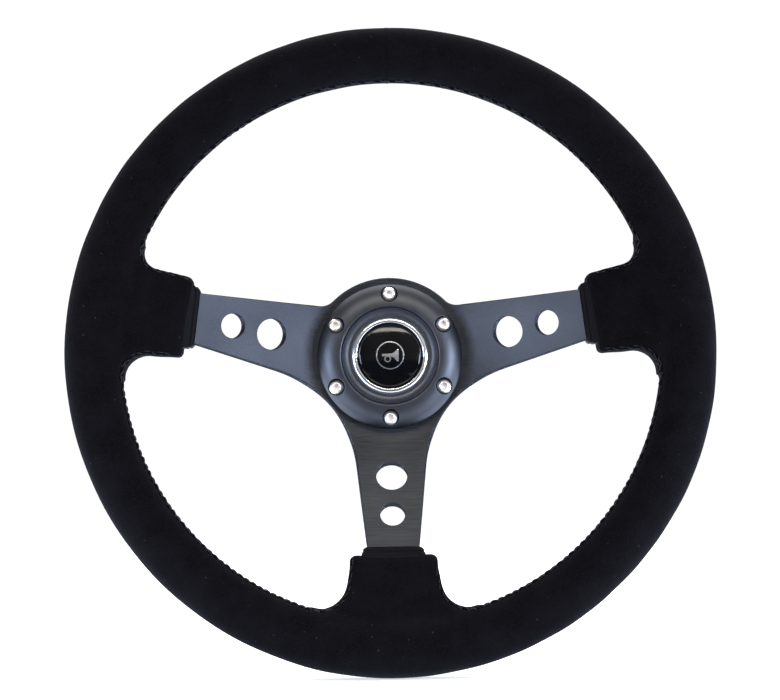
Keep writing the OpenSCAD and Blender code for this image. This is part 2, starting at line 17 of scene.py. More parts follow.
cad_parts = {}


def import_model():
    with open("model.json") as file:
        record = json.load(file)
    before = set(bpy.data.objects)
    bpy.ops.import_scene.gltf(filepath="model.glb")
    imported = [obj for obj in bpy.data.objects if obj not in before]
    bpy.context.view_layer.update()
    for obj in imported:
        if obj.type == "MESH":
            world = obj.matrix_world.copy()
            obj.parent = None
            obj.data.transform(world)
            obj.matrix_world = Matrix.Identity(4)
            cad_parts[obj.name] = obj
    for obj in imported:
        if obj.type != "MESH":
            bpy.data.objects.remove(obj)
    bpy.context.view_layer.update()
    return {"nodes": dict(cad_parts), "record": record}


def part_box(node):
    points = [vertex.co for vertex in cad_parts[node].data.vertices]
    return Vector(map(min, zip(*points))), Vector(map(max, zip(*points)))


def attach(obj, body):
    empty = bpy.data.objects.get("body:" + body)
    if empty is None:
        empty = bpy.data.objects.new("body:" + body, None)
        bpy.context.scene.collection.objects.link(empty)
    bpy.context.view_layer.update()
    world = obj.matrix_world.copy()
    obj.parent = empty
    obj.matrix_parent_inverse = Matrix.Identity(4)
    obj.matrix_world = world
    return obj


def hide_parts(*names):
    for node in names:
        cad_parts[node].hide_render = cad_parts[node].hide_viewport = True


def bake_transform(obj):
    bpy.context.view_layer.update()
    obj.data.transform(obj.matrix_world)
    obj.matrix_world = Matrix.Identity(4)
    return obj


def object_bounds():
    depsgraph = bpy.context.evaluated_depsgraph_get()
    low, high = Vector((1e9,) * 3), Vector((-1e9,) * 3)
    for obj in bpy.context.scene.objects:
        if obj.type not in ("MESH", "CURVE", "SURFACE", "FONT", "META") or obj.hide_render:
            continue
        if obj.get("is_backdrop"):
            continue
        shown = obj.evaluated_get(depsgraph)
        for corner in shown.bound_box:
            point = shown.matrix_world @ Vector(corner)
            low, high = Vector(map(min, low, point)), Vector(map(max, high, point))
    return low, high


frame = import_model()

MM = 0.001
TURN = 2 * math.pi


def row(points):
    """Hub frame millimetres to the shared frame in metres."""
    p = np.asarray(points, float)
    return np.stack([p[..., 0], -p[..., 2], p[..., 1]], -1) * MM


def extent(node):
    """Largest radius and lowest and highest height of a CAD node, in millimetres."""
    low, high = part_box(node)
    return high.x / MM, -high.y / MM, -low.y / MM


# ---- driving dimensions, from the frame ----

rim_r, rim_back, rim_front = extent("rim_cover")
grip_r = (rim_front - rim_back) / 2
rim_h = (rim_front + rim_back) / 2
hoop_r = rim_r - grip_r
hub_h = extent("wheel_flange")[2]
plate_t = extent("centre_ring")[1] - hub_h
front_h = hub_h + plate_t
ring_r, _, ring_top = extent("centre_ring")
mid_h = hub_h + plate_t / 2
# these repeat part.scad, because the frame doesn't hold them
side_angle = 10.6
spoke_angles = (side_angle, 180 - side_angle, 270)
bend_r = 46.1
BOLT_AT = 35
BOLT_HOLE_R = 2.95
seat_h = front_h + 3.8
slope = (rim_h - mid_h) / (hoop_r - bend_r)
slope_cos = 1 / math.hypot(1, slope)



def placed(name, data):
    """A new object in the scene."""
    made = bpy.data.objects.new(name, data)
    bpy.context.scene.collection.objects.link(made)
    return made


# ---- camera ----

CAMERA_DISTANCE = 950
CAMERA_BELOW = math.radians(4.6)
CAMERA_LEFT = math.radians(1.3)
CAMERA_ROLL = math.radians(-0.75)


def make_camera():
    data = bpy.data.cameras.new("camera")
    data.lens = 81.9
    data.sensor_width = 36
    data.shift_x = -0.0024
    data.shift_y = -0.0018
    data.clip_start = 0.05
    camera = placed("camera", data)
    target = Vector((0, -rim_h * MM, 0))
    away = Vector((-math.tan(CAMERA_LEFT), -1, -math.tan(CAMERA_BELOW)))
    camera.location = target + away * CAMERA_DISTANCE * MM
    aim = (-away).to_track_quat("-Z", "Y").to_matrix().to_4x4()
    camera.rotation_euler = (aim @ Matrix.Rotation(CAMERA_ROLL, 4, "Z")).to_euler()
    bpy.context.scene.camera = camera


make_camera()

# ---- materials ----


def add_node(tree, kind, inputs=None, **settings):
    """A shader node whose inputs are linked from sockets or set to values."""
    made = tree.nodes.new("ShaderNode" + kind)
    for key, value in settings.items():
        setattr(made, key, value)
    for key, value in (inputs or {}).items():
        if isinstance(value, bpy.types.NodeSocket):
            tree.links.new(value, made.inputs[key])
        else:
            made.inputs[key].default_value = value
    return made


class Paint:
    """A Principled material whose detail comes from procedural nodes in object space."""

    def __init__(self, name, roughness=0.5, metallic=0.0, **constants):
        self.material = bpy.data.materials.new(name)
        self.material.use_nodes = True
        self.tree = self.material.node_tree
        self.shader = self.tree.nodes["Principled BSDF"]
        self.shader.inputs["Roughness"].default_value = roughness
        self.shader.inputs["Metallic"].default_value = metallic
        for socket, value in constants.items():
            self.shader.inputs[socket.replace("_", " ")].default_value = value
        self.relief = None

    def node(self, kind, inputs=None, **settings):
        return add_node(self.tree, kind, inputs, **settings)

    def link(self, output, socket):
        self.tree.links.new(output, self.shader.inputs[socket])

    def math(self, operation, *values):
        return self.node("Math", dict(enumerate(values)), operation=operation).outputs[0]

    def place(self, stretch=(1, 1, 1)):
        """Object coordinates in metres, stretched."""
        where = self.node("TexCoord").outputs["Object"]
        return self.node("Mapping", {"Vector": where, "Scale": stretch}).outputs["Vector"]

    def noise(self, size, detail=3.0, stretch=(1, 1, 1), rough=0.5):
        """Noise whose features are about size millimetres across."""
        inputs = {"Vector": self.place(stretch), "Scale": 1 / (size * MM)}
        return self.node("TexNoise", inputs | {"Detail": detail, "Roughness": rough}).outputs["Fac"]

    def specks(self, size, share):
        """One where a scattered few of the cells, size millimetres across, hold a speck."""
        cells = self.node("TexVoronoi", {"Vector": self.place(), "Scale": 1 / (size * MM)})
        near = self.math("LESS_THAN", cells.outputs["Distance"], 0.1)
        draw = self.node("SeparateColor", {"Color": cells.outputs["Color"]}).outputs[0]
        return self.math("MULTIPLY", near, self.math("LESS_THAN", draw, share))

    def spread(self, value, low, high, to_low=0.0, to_high=1.0):
        inputs = {"Value": value, "From Min": low, "From Max": high, "To Min": to_low, "To Max": to_high}
        return self.node("MapRange", inputs).outputs["Result"]

    def mix(self, factor, a, b):
        """A blend of colour a, a socket or red, green and blue, into colour b."""
        inputs = {0: factor, 6: a if isinstance(a, bpy.types.NodeSocket) else (*a, 1), 7: (*b, 1)}
        return self.node("Mix", inputs, data_type="RGBA").outputs[2]

    def colour(self, output):
        self.link(output, "Base Color")
        return self

    def rough(self, value, low, high):
        self.link(self.spread(value, 0.3, 0.7, low, high), "Roughness")
        return self

    def bump(self, value, depth, strength=1.0):
        """Adds a relief depth millimetres high."""
        inputs = {"Height": value, "Distance": depth * MM, "Strength": strength}
        if self.relief is not None:
            inputs["Normal"] = self.relief
        self.relief = self.node("Bump", inputs).outputs["Normal"]
        self.link(self.relief, "Normal")
        return self


def suede():
    paint = Paint("suede", 0.95, Sheen_Weight=0.025, Sheen_Roughness=0.45,
                  Sheen_Tint=(0.75, 0.68, 0.8, 1), Specular_IOR_Level=0.03)
    brushed = paint.spread(paint.noise(14, 4), 0.35, 0.7)
    nap = paint.noise(0.55, 3)
    base = paint.mix(brushed, (0.0014, 0.0011, 0.0013), (0.0034, 0.0028, 0.0034))
    tufted = paint.mix(paint.spread(nap, 0.4, 0.75), base, (0.0056, 0.005, 0.0062))
    lint = paint.math("MAXIMUM", paint.specks(3.2, 0.08), paint.specks(1.7, 0.05))
    paint.colour(paint.mix(lint, tufted, (0.03, 0.03, 0.034)))
    paint.bump(nap, 0.35, 0.8).bump(paint.noise(2.6, 2), 0.25, 0.5)
    return paint.material


def thread():
    paint = Paint("thread", 0.75, Sheen_Weight=0.03, Specular_IOR_Level=0.15)
    twist = paint.noise(0.25, 2)
    paint.colour(paint.mix(twist, (0.01, 0.009, 0.011), (0.034, 0.032, 0.037)))
    return paint.bump(twist, 0.08).material


def leather():
    paint = Paint("cuff_leather", 0.7, Specular_IOR_Level=0.09)
    grain = paint.noise(0.8, 4)
    paint.colour(paint.mix(grain, (0.0012, 0.0008, 0.001), (0.0035, 0.0024, 0.003)))
    return paint.rough(grain, 0.5, 0.8).bump(grain, 0.2, 0.6).material


def foam():
    paint = Paint("grip_foam", 0.95)
    cells = paint.noise(0.7, 3)
    paint.colour(paint.mix(cells, (0.01, 0.01, 0.01), (0.03, 0.03, 0.032)))
    return paint.bump(cells, 0.3).material


def metal(name, dark, light, roughness, relief=0.01, streak=None, blotch=18):
    """Worked metal: a grain, drawn out along the streak's long axis, over broad soft blotches."""
    paint = Paint(name, roughness, 1.0)
    if dark[0] < 0.1:
        # a dark anodised face stays dim where it is seen edge on
        paint.shader.inputs["Specular Tint"].default_value = (0.22, 0.23, 0.26, 1)
    grain = paint.noise(1.1 if streak else 0.45, 5, streak or (1, 1, 1), 0.65)
    broad = paint.noise(blotch, 2)
    paint.colour(paint.mix(paint.spread(paint.math("ADD", grain, broad), 0.7, 1.3), dark, light))
    paint.rough(grain, max(roughness - 0.06, 0.02), roughness + 0.08)
    return paint.bump(grain, relief).material


def turned_metal(name, dark, light, roughness):
    """Metal turned on a lathe: fine rings about the steering axis."""
    pitch, relief = 0.35, 0.012
    paint = Paint(name, roughness, 1.0)
    where = paint.node("SeparateXYZ", {"Vector": paint.place()})
    flat = paint.node("CombineXYZ", {"X": where.outputs["X"], "Y": where.outputs["Z"]})
    radius = paint.node("VectorMath", {0: flat.outputs[0]}, operation="LENGTH").outputs["Value"]
    line = paint.node("CombineXYZ", {"X": radius, "Y": where.outputs["Y"]}).outputs[0]
    rings = paint.node("TexNoise", {"Vector": line, "Scale": 1 / (pitch * MM), "Detail": 3.0}).outputs["Fac"]
    paint.colour(paint.mix(paint.spread(rings, 0.3, 0.7), dark, light))
    paint.rough(rings, max(roughness - 0.05, 0.03), roughness + 0.07)
    return paint.bump(rings, relief).bump(paint.noise(9, 2), 0.02, 0.3).material


def plastic(name, dark, light, roughness, relief=0.02, size=1.2, specular=0.5):
    paint = Paint(name, roughness, Specular_IOR_Level=specular)
    grain = paint.noise(size, 3)
    paint.colour(paint.mix(paint.spread(grain, 0.3, 0.7), dark, light))
    paint.rough(paint.noise(6, 3), max(roughness - 0.03, 0.02), roughness + 0.05)
    return paint.bump(grain, relief, 0.6).material


FINISH = {
    "suede": suede(),
    "thread": thread(),
    "cuff_leather": leather(),
    "grip_foam": foam(),
}
# each metal's darkest and lightest colour, roughness, and where it matters its relief, streak and blotches
for name, *values in (
        ("spoke_anodised", (0.026, 0.0265, 0.029), (0.07, 0.071, 0.076), 0.5, 0.07, (0.04, 1, 1.6), 60),
        ("raw_aluminium", (0.45, 0.46, 0.48), (0.7, 0.71, 0.73), 0.4),
        ("ring_anodised", (0.062, 0.063, 0.07), (0.085, 0.087, 0.096), 0.42, 0.006),
        ("screw_steel", (0.92, 0.84, 0.77), (1.0, 0.94, 0.87), 0.42, 0.004),
        ("bezel_chrome", (0.88, 0.88, 0.88), (0.97, 0.97, 0.96), 0.14, 0.0015),
        ("badge_metal", (0.7, 0.71, 0.73), (0.85, 0.86, 0.88), 0.22, 0.003, (0.1, 1, 1)),
        ("contact_brass", (0.55, 0.38, 0.14), (0.8, 0.6, 0.28), 0.3),
        ("spring_steel", (0.4, 0.4, 0.42), (0.65, 0.65, 0.67), 0.28),
        ("clip_steel", (0.03, 0.03, 0.034), (0.07, 0.07, 0.075), 0.35),
        ("ball_steel", (0.75, 0.76, 0.78), (0.9, 0.91, 0.93), 0.08, 0.001)):
    FINISH[name] = metal(name, *values)
for name, dark, light, roughness in (
        ("flange_anodised", (0.03, 0.03, 0.034), (0.06, 0.06, 0.068), 0.34),
        ("sleeve_steel", (0.32, 0.33, 0.35), (0.52, 0.53, 0.56), 0.25),
        ("collar_anodised", (0.075, 0.08, 0.095), (0.13, 0.135, 0.155), 0.32),
        ("column_steel", (0.115, 0.116, 0.12), (0.2, 0.2, 0.205), 0.36)):
    FINISH[name] = turned_metal(name, dark, light, roughness)
# each plastic's colours, roughness, and where it matters its relief, grain size and specular level
for name, *values in (
        ("horn_rubber", (0.018, 0.018, 0.023), (0.032, 0.032, 0.042), 0.36, 0.02, 1.2, 0.9),
        ("cap_plastic", (0.001, 0.001, 0.0012), (0.002, 0.002, 0.0024), 0.06, 0.001, 8, 0.25),
        ("nylon", (0.55, 0.52, 0.44), (0.68, 0.65, 0.56), 0.55),
        ("lead_insulation", (0.3, 0.012, 0.01), (0.45, 0.02, 0.016), 0.4)):
    FINISH[name] = plastic(name, *values)

SLOT_OF = {part["node"]: part["material_slot"] for part in frame["record"]["subparts"]}

for node_name, node_object in frame["nodes"].items():
    node_object.data.materials.clear()
    node_object.data.materials.append(FINISH[SLOT_OF[node_name]])

# ---- meshes ----


def piece(name, points, faces, slot, body="wheel", replaces=(), sharp=38):
    """A smooth-shaded piece from hub frame points, riding on a body with a finish."""
    mesh = bpy.data.meshes.new(name)
    mesh.from_pydata(row(points).tolist(), [], [tuple(int(i) for i in face) for face in faces])
    shape = bmesh.new()
    shape.from_mesh(mesh)
    bmesh.ops.remove_doubles(shape, verts=shape.verts, dist=2e-6)
    bmesh.ops.dissolve_degenerate(shape, edges=shape.edges, dist=1e-7)
    bmesh.ops.recalc_face_normals(shape, faces=shape.faces)
    shape.to_mesh(mesh)
    shape.free()
    mesh.shade_smooth()
    mesh.set_sharp_from_angle(angle=math.radians(sharp))
    mesh.materials.append(FINISH[slot])
    made = placed(name, mesh)
    if body:
        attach(made, body)
    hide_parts(*replaces)
    return made


def joined(parts):
    """Points and faces of several (points, faces) as one."""
    points, faces, start = [], [], 0
    for some_points, some_faces in parts:
        points.append(np.asarray(some_points, float).reshape(-1, 3))
        faces += [tuple(i + start for i in face) for face in some_faces]
        start += len(points[-1])
    return np.concatenate(points), faces


def strip(rows, columns, close_rows=False, close_columns=False):
    """Quads between neighbouring points of a rows by columns grid."""
    down = range(rows if close_rows else rows - 1)
    across = range(columns if close_columns else columns - 1)
    return [
        (i * columns + j, i * columns + (j + 1) % columns,
         (i + 1) % rows * columns + (j + 1) % columns, (i + 1) % rows * columns + j)
        for i in down for j in across]


def rounded(corners, steps=4, rest=0.15):
    """A closed outline with each corner (x, y, reach) bent round.

    A point rest millimetres beside each bend keeps the flats flat.
    """
    points = []
    count = len(corners)
    for i, (x, y, reach) in enumerate(corners):
        here = np.array((x, y), float)
        sides = []
        for other in (corners[i - 1], corners[(i + 1) % count]):
            way = np.array(other[:2], float) - here
            length = np.linalg.norm(way)
            sides.append((way / length, length))
        bend = min([reach] + [0.45 * length for _, length in sides])
        if bend <= 0:
            points.append(here)
            continue
        (before, room_before), (after, room_after) = sides
        if room_before * 0.45 > bend + rest:
            points.append(here + before * (bend + rest))
        for k in range(steps + 1):
            t = k / steps
            points.append(here + before * bend * (1 - t) ** 2 + after * bend * t * t)
        if room_after * 0.45 > bend + rest:
            points.append(here + after * (bend + rest))
    return np.array(points)


def lathe(outline, steps=192, shape=None, closed=True):
    """An outline of (radius, height) turned about the steering axis.

    shape(angles, radii) may change the radii by angle.
    """
    outline = np.asarray(outline, float)
    angles = np.arange(steps)[:, None] * TURN / steps
    radii = np.broadcast_to(outline[:, 0], (steps, len(outline)))
    heights = np.broadcast_to(outline[:, 1], (steps, len(outline)))
    if shape:
        radii = shape(angles, radii)
    points = np.stack([radii * np.cos(angles), radii * np.sin(angles), heights], -1)
    return points.reshape(-1, 3), strip(steps, len(outline), True, closed)


def spin(points, degrees):
    """Points turned about the steering axis."""
    p = np.asarray(points, float)
    c, s = math.cos(math.radians(degrees)), math.sin(math.radians(degrees))
    x, y = p[..., 0] * c - p[..., 1] * s, p[..., 0] * s + p[..., 1] * c
    return np.stack([x, y, *np.moveaxis(p[..., 2:], -1, 0)], -1)


def unit(vectors):
    return vectors / np.linalg.norm(vectors, axis=-1, keepdims=True)


def heading(path, closed=False):
    """The direction of a path at each of its points."""
    return unit(np.roll(path, -1, 0) - np.roll(path, 1, 0) if closed else np.gradient(path, axis=0))


def pipe(path, normals, radius, sides=8, closed=False):
    """A round tube along a path, with each ring set by the path and a normal."""
    path = np.asarray(path, float)
    ahead = heading(path, closed)
    across = unit(np.cross(ahead, normals))
    up = np.cross(across, ahead)
    turn = np.arange(sides) * TURN / sides
    radius = np.broadcast_to(radius, len(path))[:, None, None]
    around = np.cos(turn)[:, None] * across[:, None] + np.sin(turn)[:, None] * up[:, None]
    rings = path[:, None] + radius * around
    faces = strip(len(path), sides, closed, True)
    if not closed:
        faces += [tuple(range(sides)), tuple((len(path) - 1) * sides + k for k in range(sides))]
    return rings.reshape(-1, 3), faces


def at_height(plan, height):
    """Plan points with a height, the same for all or one each."""
    return np.column_stack([plan, np.broadcast_to(height, len(plan))])


# ---- the padding as a field of distances ----

GRID = 1.15
# the boots: where each starts, the rounding in plan and in section, and how softly they join the grip
BOOT_STARTS = (112, 112, 110.3)
BOOT_CORNER = 4.0
BOOT_ROUND = 5.2
BOOT_HALF_T = 7.6
BOOT_MELT = 4.0
BOOT_REACH = 52
BOOT_WIDENS_FROM, BOOT_WIDENS_OVER = 3, 13
# each side of a boot: its half width, the radius of its flare, and how much it widens on the way
UPPER, LOWER, BOTTOM = (21.2, 9.2, 0.2), (23.3, 12.4, 1.9), (24.0, 14.4, 1.5)
# each boot's counter-clockwise and clockwise sides
BOOTS = ((UPPER, LOWER), (LOWER, UPPER), (BOTTOM, BOTTOM))
# the side boots start a little off square, nearer to upright
BOOT_LEANS = (0.035, -0.035, 0)


def plate_mid(radius):
    """Height of the spoke plate's middle surface: flat, a soft bend, then a cone."""
    soft = 5.0
    t = np.clip(radius - bend_r + soft, 0, 2 * soft)
    return mid_h + slope * (t * t / (4 * soft) + np.maximum(radius - bend_r - soft, 0))


def smooth_min(a, b, melt):
    h = np.clip(0.5 + 0.5 * (b - a) / melt, 0, 1)
    return b + (a - b) * h - melt * h * (1 - h)


def corner_min(a, b, reach):
    """Distance inside both a and b, with the edge between them rounded."""
    a, b = a + reach, b + reach
    return np.minimum(np.maximum(a, b), 0) + np.hypot(np.maximum(a, 0), np.maximum(b, 0)) - reach


def outline_distance(x, y, corners):
    """Distance in a plane to a closed outline, negative inside it."""
    best = np.full(x.shape, np.inf)
    inside = np.zeros(x.shape, bool)
    for (ax, ay), (bx, by) in zip(corners, np.roll(corners, -1, 0)):
        ex, ey = bx - ax, by - ay
        wx, wy = x - ax, y - ay
        t = np.clip((wx * ex + wy * ey) / (ex * ex + ey * ey), 0, 1)
        best = np.minimum(best, (wx - t * ex) ** 2 + (wy - t * ey) ** 2)
        if ey:
            inside ^= ((ay > y) != (by > y)) & (wx < wy * ex / ey)
    return np.where(inside, -1, 1) * np.sqrt(best)


def polar(radius, angle, centre=(0, 0)):
    """Points at a radius and an angle in radians about a centre."""
    return np.stack([centre[0] + radius * np.cos(angle), centre[1] + radius * np.sin(angle)], -1)


def arc(centre, radius, start, end, steps):
    """Points on an arc, with its angles in degrees."""
    return polar(radius, np.radians(np.linspace(start, end, steps + 1)), centre)


def boot_side(side, inset):
    """One side of a boot in plan, v positive: from its start corner to the rim's inner circle."""
    half, flare, widening = side
    half, flare = half + widening - inset, flare + inset
    inner = hoop_r - grip_r + inset
    centre = (math.sqrt((inner - flare) ** 2 - (half + flare) ** 2), half + flare)
    lean = math.degrees(math.atan2(centre[1], centre[0]))
    run = np.linspace(BOOT_STARTS[0] + 6, centre[0], 6)[:-1]
    points = np.concatenate([
        np.column_stack([run, np.full(5, half)]), arc(centre, flare, 270, 360 + lean, 12)])
    t = np.clip((points[:, 0] - BOOT_STARTS[0] - BOOT_WIDENS_FROM) / BOOT_WIDENS_OVER, 0, 1)
    points[:, 1] -= widening * (1 - t * t * (3 - 2 * t))
    return points, lean


def start_corner(start, half, corner):
    return arc((start + corner, half - corner), corner, 180, 90, 6)


def boot_outline(boot, inset):
    """A boot in plan, x along its spoke."""
    first, second = BOOTS[boot]
    side_a, lean_a = boot_side(first, inset)
    side_b, lean_b = boot_side(second, inset)
    start, end = BOOT_STARTS[boot] + inset, hoop_r - grip_r + inset + 12
    corner_a, corner_b = (start_corner(start, side[0] - inset, BOOT_CORNER) for side in (first, second))
    ends = [spin((end, 0), a) for a in (lean_a, 0, -lean_b)]
    flip = np.array((1, -1))
    outline = np.concatenate([corner_a, side_a, ends, side_b[::-1] * flip, corner_b[::-1] * flip])
    outline[:, 0] += BOOT_LEANS[boot] * outline[:, 1] * np.clip((start + 18 - outline[:, 0]) / 14, 0, 1)
    return outline


def boot_section(boot, inset):
    """A boot from the side: it grows from the spoke's thickness to the grip's."""
    start = BOOT_STARTS[boot] + inset
    middle, rise = plate_mid(np.array(start)), (BOOT_HALF_T - inset) / slope_cos
    return np.array([
        (start, middle - rise), (hoop_r - 6, rim_h - grip_r + 1.6 + inset), (hoop_r - 2, rim_h),
        (hoop_r - 12, rim_h + 5.5 - inset), (start, middle + rise)])


def lumps(p):
    """Slow hills and hollows of hand-pulled suede, about a fifth of a millimetre."""
    angle = np.arctan2(p[:, 1], p[:, 0])
    return (0.09 * np.sin(9 * angle + 0.7 + 0.06 * p[:, 2])
            + 0.06 * np.sin(23 * angle + 0.11 * p[:, 2] + 2.1)
            + 0.05 * np.sin(0.21 * p[:, 0] + 0.17 * p[:, 1] - 0.23 * p[:, 2]))


def padding_distance(p, inset=0.0):
    """Distance to the padded grip with its boots melted into it."""
    radius = np.hypot(p[:, 0], p[:, 1])
    d = np.hypot(radius - hoop_r, p[:, 2] - rim_h) - (grip_r - inset)
    for boot in range(3):
        turned = spin(p, -spoke_angles[boot])
        near = (turned[:, 0] > BOOT_STARTS[boot] - 12) & (np.abs(turned[:, 1]) < BOOT_REACH)
        if not near.any():
            continue
        t = turned[near]
        plan = outline_distance(t[:, 0], t[:, 1], boot_outline(boot, inset))
        side = outline_distance(radius[near], t[:, 2], boot_section(boot, inset))
        body = corner_min(plan, side, BOOT_ROUND - 0.6 * inset)
        d[near] = smooth_min(d[near], body, BOOT_MELT)
    return d + (lumps(p) if inset == 0 else 0)


def slope_of(distance, p, step=0.05):
    """Gradient of a distance field."""
    return np.stack([(distance(p + d) - distance(p - d)) / (2 * step) for d in np.eye(3) * step], -1)


def settle(distance, p, times=3):
    """Points moved onto a field's zero surface."""
    for _ in range(times):
        g = slope_of(distance, p)
        p = p - distance(p)[:, None] * g / np.maximum((g * g).sum(-1), 0.2)[:, None]
    return p


def surface(distance, low, high, step):
    """Points and quads of a field's zero surface: one point in each cell that it crosses."""
    axes = [np.arange(a, b + step, step) for a, b in zip(low, high)]
    grid = np.stack(np.meshgrid(*axes, indexing="ij"), -1)
    inside = distance(grid.reshape(-1, 3)).reshape(grid.shape[:3]) < 0
    n = np.array(inside.shape) - 1
    count = sum(
        inside[i:i + n[0], j:j + n[1], k:k + n[2]].astype(int)
        for i, j, k in itertools.product((0, 1), repeat=3))
    cells = (count > 0) & (count < 8)
    index = np.full(cells.shape, -1)
    index[cells] = np.arange(cells.sum())
    points = settle(distance, grid[:-1, :-1, :-1][cells] + step / 2)
    faces = []
    for axis in range(3):
        a, b = (axis + 1) % 3, (axis + 2) % 3
        first = np.take(inside, range(n[axis]), axis)
        crossed = np.argwhere(first != np.take(inside, range(1, n[axis] + 1), axis))
        beside = crossed[:, [a, b]]
        crossed = crossed[((beside > 0) & (beside < n[[a, b]])).all(1)]
        ring = []
        for da, db in ((1, 1), (0, 1), (0, 0), (1, 0)):
            cell = crossed.copy()
            cell[:, a] -= da
            cell[:, b] -= db
            ring.append(index[tuple(cell.T)])
        faces.append(np.stack(ring, -1))
    return points, np.concatenate(faces)


RIM_LOW = (-rim_r - 3, -rim_r - 3, rim_back - 24)
RIM_HIGH = (rim_r + 3, rim_r + 3, rim_front + 3)

# ---- seams ----

SEAM_INSET = 0.3
BOOT_SEAM_INSET = 1.3
STITCH_PITCH = 8.2
WRAP_JOINT_AT = 90.3
STITCH_REACH = 1.15
LIP_R = 0.6
LIP_APART = 0.72
SEAM_DEPTH, SEAM_WIDTH = 0.55, 1.5
PUCKER_DEPTH, PUCKER_WIDTH = 0.14, 3
THREAD_R, THREAD_R_ON_BOOT = 0.33, 0.22
# each run of the thread: where it starts and ends in the pitch, from and to which side, and its height
STITCH_RUNS = ((0, 0.5, -1, 1, 0.72), (0.52, 0.97, 0.75, 0.95, 0.5), (0.5, 0.95, -0.95, -0.8, 0.45))


def run_along(path):
    """Distance from a polyline's start to each of its points."""
    return np.concatenate([[0], np.cumsum(np.linalg.norm(np.diff(path, axis=0), axis=1))])


def resample(path, pitch):
    """Points a near-equal pitch apart along a polyline."""
    run = run_along(path)
    at = np.linspace(0, run[-1], max(int(round(run[-1] / pitch)), 2) + 1)
    return np.stack([np.interp(at, run, path[:, k]) for k in range(path.shape[1])], -1)


def seam_leg(boot, side):
    """The seam along one side of a boot: well in on the boot, and innermost where it joins the rim."""
    near, lean = boot_side(side, SEAM_INSET)
    far, _ = boot_side(side, BOOT_SEAM_INSET)
    t = np.clip((np.arange(len(near)) - len(near) + 9) / 7, 0, 1)[:, None]
    leg = far * (1 - t) + near * t
    corner = (BOOT_STARTS[boot] + BOOT_CORNER - 1.5, side[0] - BOOT_SEAM_INSET)
    return np.concatenate([[corner], leg]), lean


def window_seam(first, second):
    """The seam round one window, in plan: along a boot, the rim's inside and the next boot."""
    leg_a, lean_a = seam_leg(first, BOOTS[first][0])
    leg_b, lean_b = seam_leg(second, BOOTS[second][1])
    angle_a, angle_b = spoke_angles[first], spoke_angles[second]
    while angle_b < angle_a:
        angle_b += 360
    rim = arc((0, 0), hoop_r - grip_r + SEAM_INSET, angle_a + lean_a, angle_b - lean_b, 160)[1:-1]
    whole = np.concatenate([spin(leg_a, angle_a), rim, spin(leg_b * (1, -1), angle_b)[::-1]])
    return resample(whole, 1.0)


def on_front(plan):
    """Plan points lifted to the driver's side of the padding."""
    heights = np.linspace(rim_front + 2, rim_back - 20, 120)
    d = np.array([padding_distance(at_height(plan, h)) for h in heights])
    return settle(padding_distance, at_height(plan, heights[np.argmax(d < 0, axis=0)]), 2)


def lips(path, normals, closed=False, apart=LIP_APART, radius=LIP_R):
    """The two puffed edges of a seam."""
    across = unit(np.cross(heading(path, closed), normals))
    fade = np.ones(len(path))
    if not closed:
        fade = np.clip(np.minimum(np.arange(len(path)), np.arange(len(path))[::-1]) / 4, 0.25, 1)
    return [
        pipe(path + side * across * apart - normals * radius * 0.55, normals, radius * fade, 8, closed)
        for side in (-1, 1)]


def stitches(path, normals):
    """One thread laced along a seam: a slanted stitch over it, and a shallow one along each lip."""
    run = run_along(path)
    across = unit(np.cross(heading(path), normals))
    made = []
    for at in np.arange(STITCH_PITCH / 2, run[-1] - STITCH_PITCH, STITCH_PITCH):
        for start, end, from_side, to_side, high in STITCH_RUNS:
            t = np.linspace(0, 1, 10)
            along = at + STITCH_PITCH * (start + (end - start) * t)
            side = STITCH_REACH * (from_side + (to_side - from_side) * t)
            k = np.interp(along, run, np.arange(len(run)))
            i = k.astype(int).clip(0, len(path) - 2)
            part = (k - i)[:, None]
            centre = path[i] * (1 - part) + path[i + 1] * part
            on_boot = np.hypot(centre[:, 0], centre[:, 1]) < hoop_r - grip_r - 2
            arch = high - 1.1 * np.abs(2 * t - 1) ** 4 - 0.3 * on_boot
            line = centre + across[i] * side[:, None] + normals[i] * arch[:, None]
            made.append(pipe(line, normals[i], np.where(on_boot, THREAD_R_ON_BOOT, THREAD_R), 6))
    return made


def padding():
    points, faces = surface(padding_distance, RIM_LOW, RIM_HIGH, GRID)
    seams = []
    for first, second in ((0, 1), (1, 2), (2, 0)):
        path = on_front(window_seam(first, second))
        seams.append((path, unit(slope_of(padding_distance, path))))
    tree = KDTree(sum(len(path) for path, _ in seams))
    phase = []
    for path, _ in seams:
        for i, p in enumerate(path):
            tree.insert(p, len(phase))
            phase.append(math.cos(TURN * (i / STITCH_PITCH + 0.5)))
    tree.balance()
    normals = unit(slope_of(padding_distance, points))
    plan_r = np.hypot(points[:, 0], points[:, 1])
    for i in np.flatnonzero((plan_r < hoop_r - 4) & (points[:, 2] > rim_back - 14)):
        _, k, gap = tree.find(points[i])
        if gap < 2 * PUCKER_WIDTH:
            sunk = SEAM_DEPTH * math.exp(-(gap / SEAM_WIDTH) ** 2)
            sunk += PUCKER_DEPTH * phase[k] * math.exp(-(gap / PUCKER_WIDTH) ** 2)
            points[i] -= normals[i] * sunk
    stands_for = ("rim_cover", "boot_right", "boot_left", "boot_bottom")
    wrap = piece("suede_wrap", points, faces, "suede", replaces=stands_for, sharp=180)
    core = surface(lambda p: padding_distance(p, 2.0), RIM_LOW, RIM_HIGH, max(GRID, 2.4))
    piece("moulded_grip", *core, "grip_foam", replaces=("rim_foam",), sharp=180)
    for name, make, slot, nodes in (
            ("seam_edges", lips, "suede", ()), ("cross_stitches", stitches, "thread", ("rim_thread",))):
        parts = [part for path, normal in seams for part in make(path, normal)]
        piece(name, *joined(parts), slot, replaces=nodes, sharp=180)


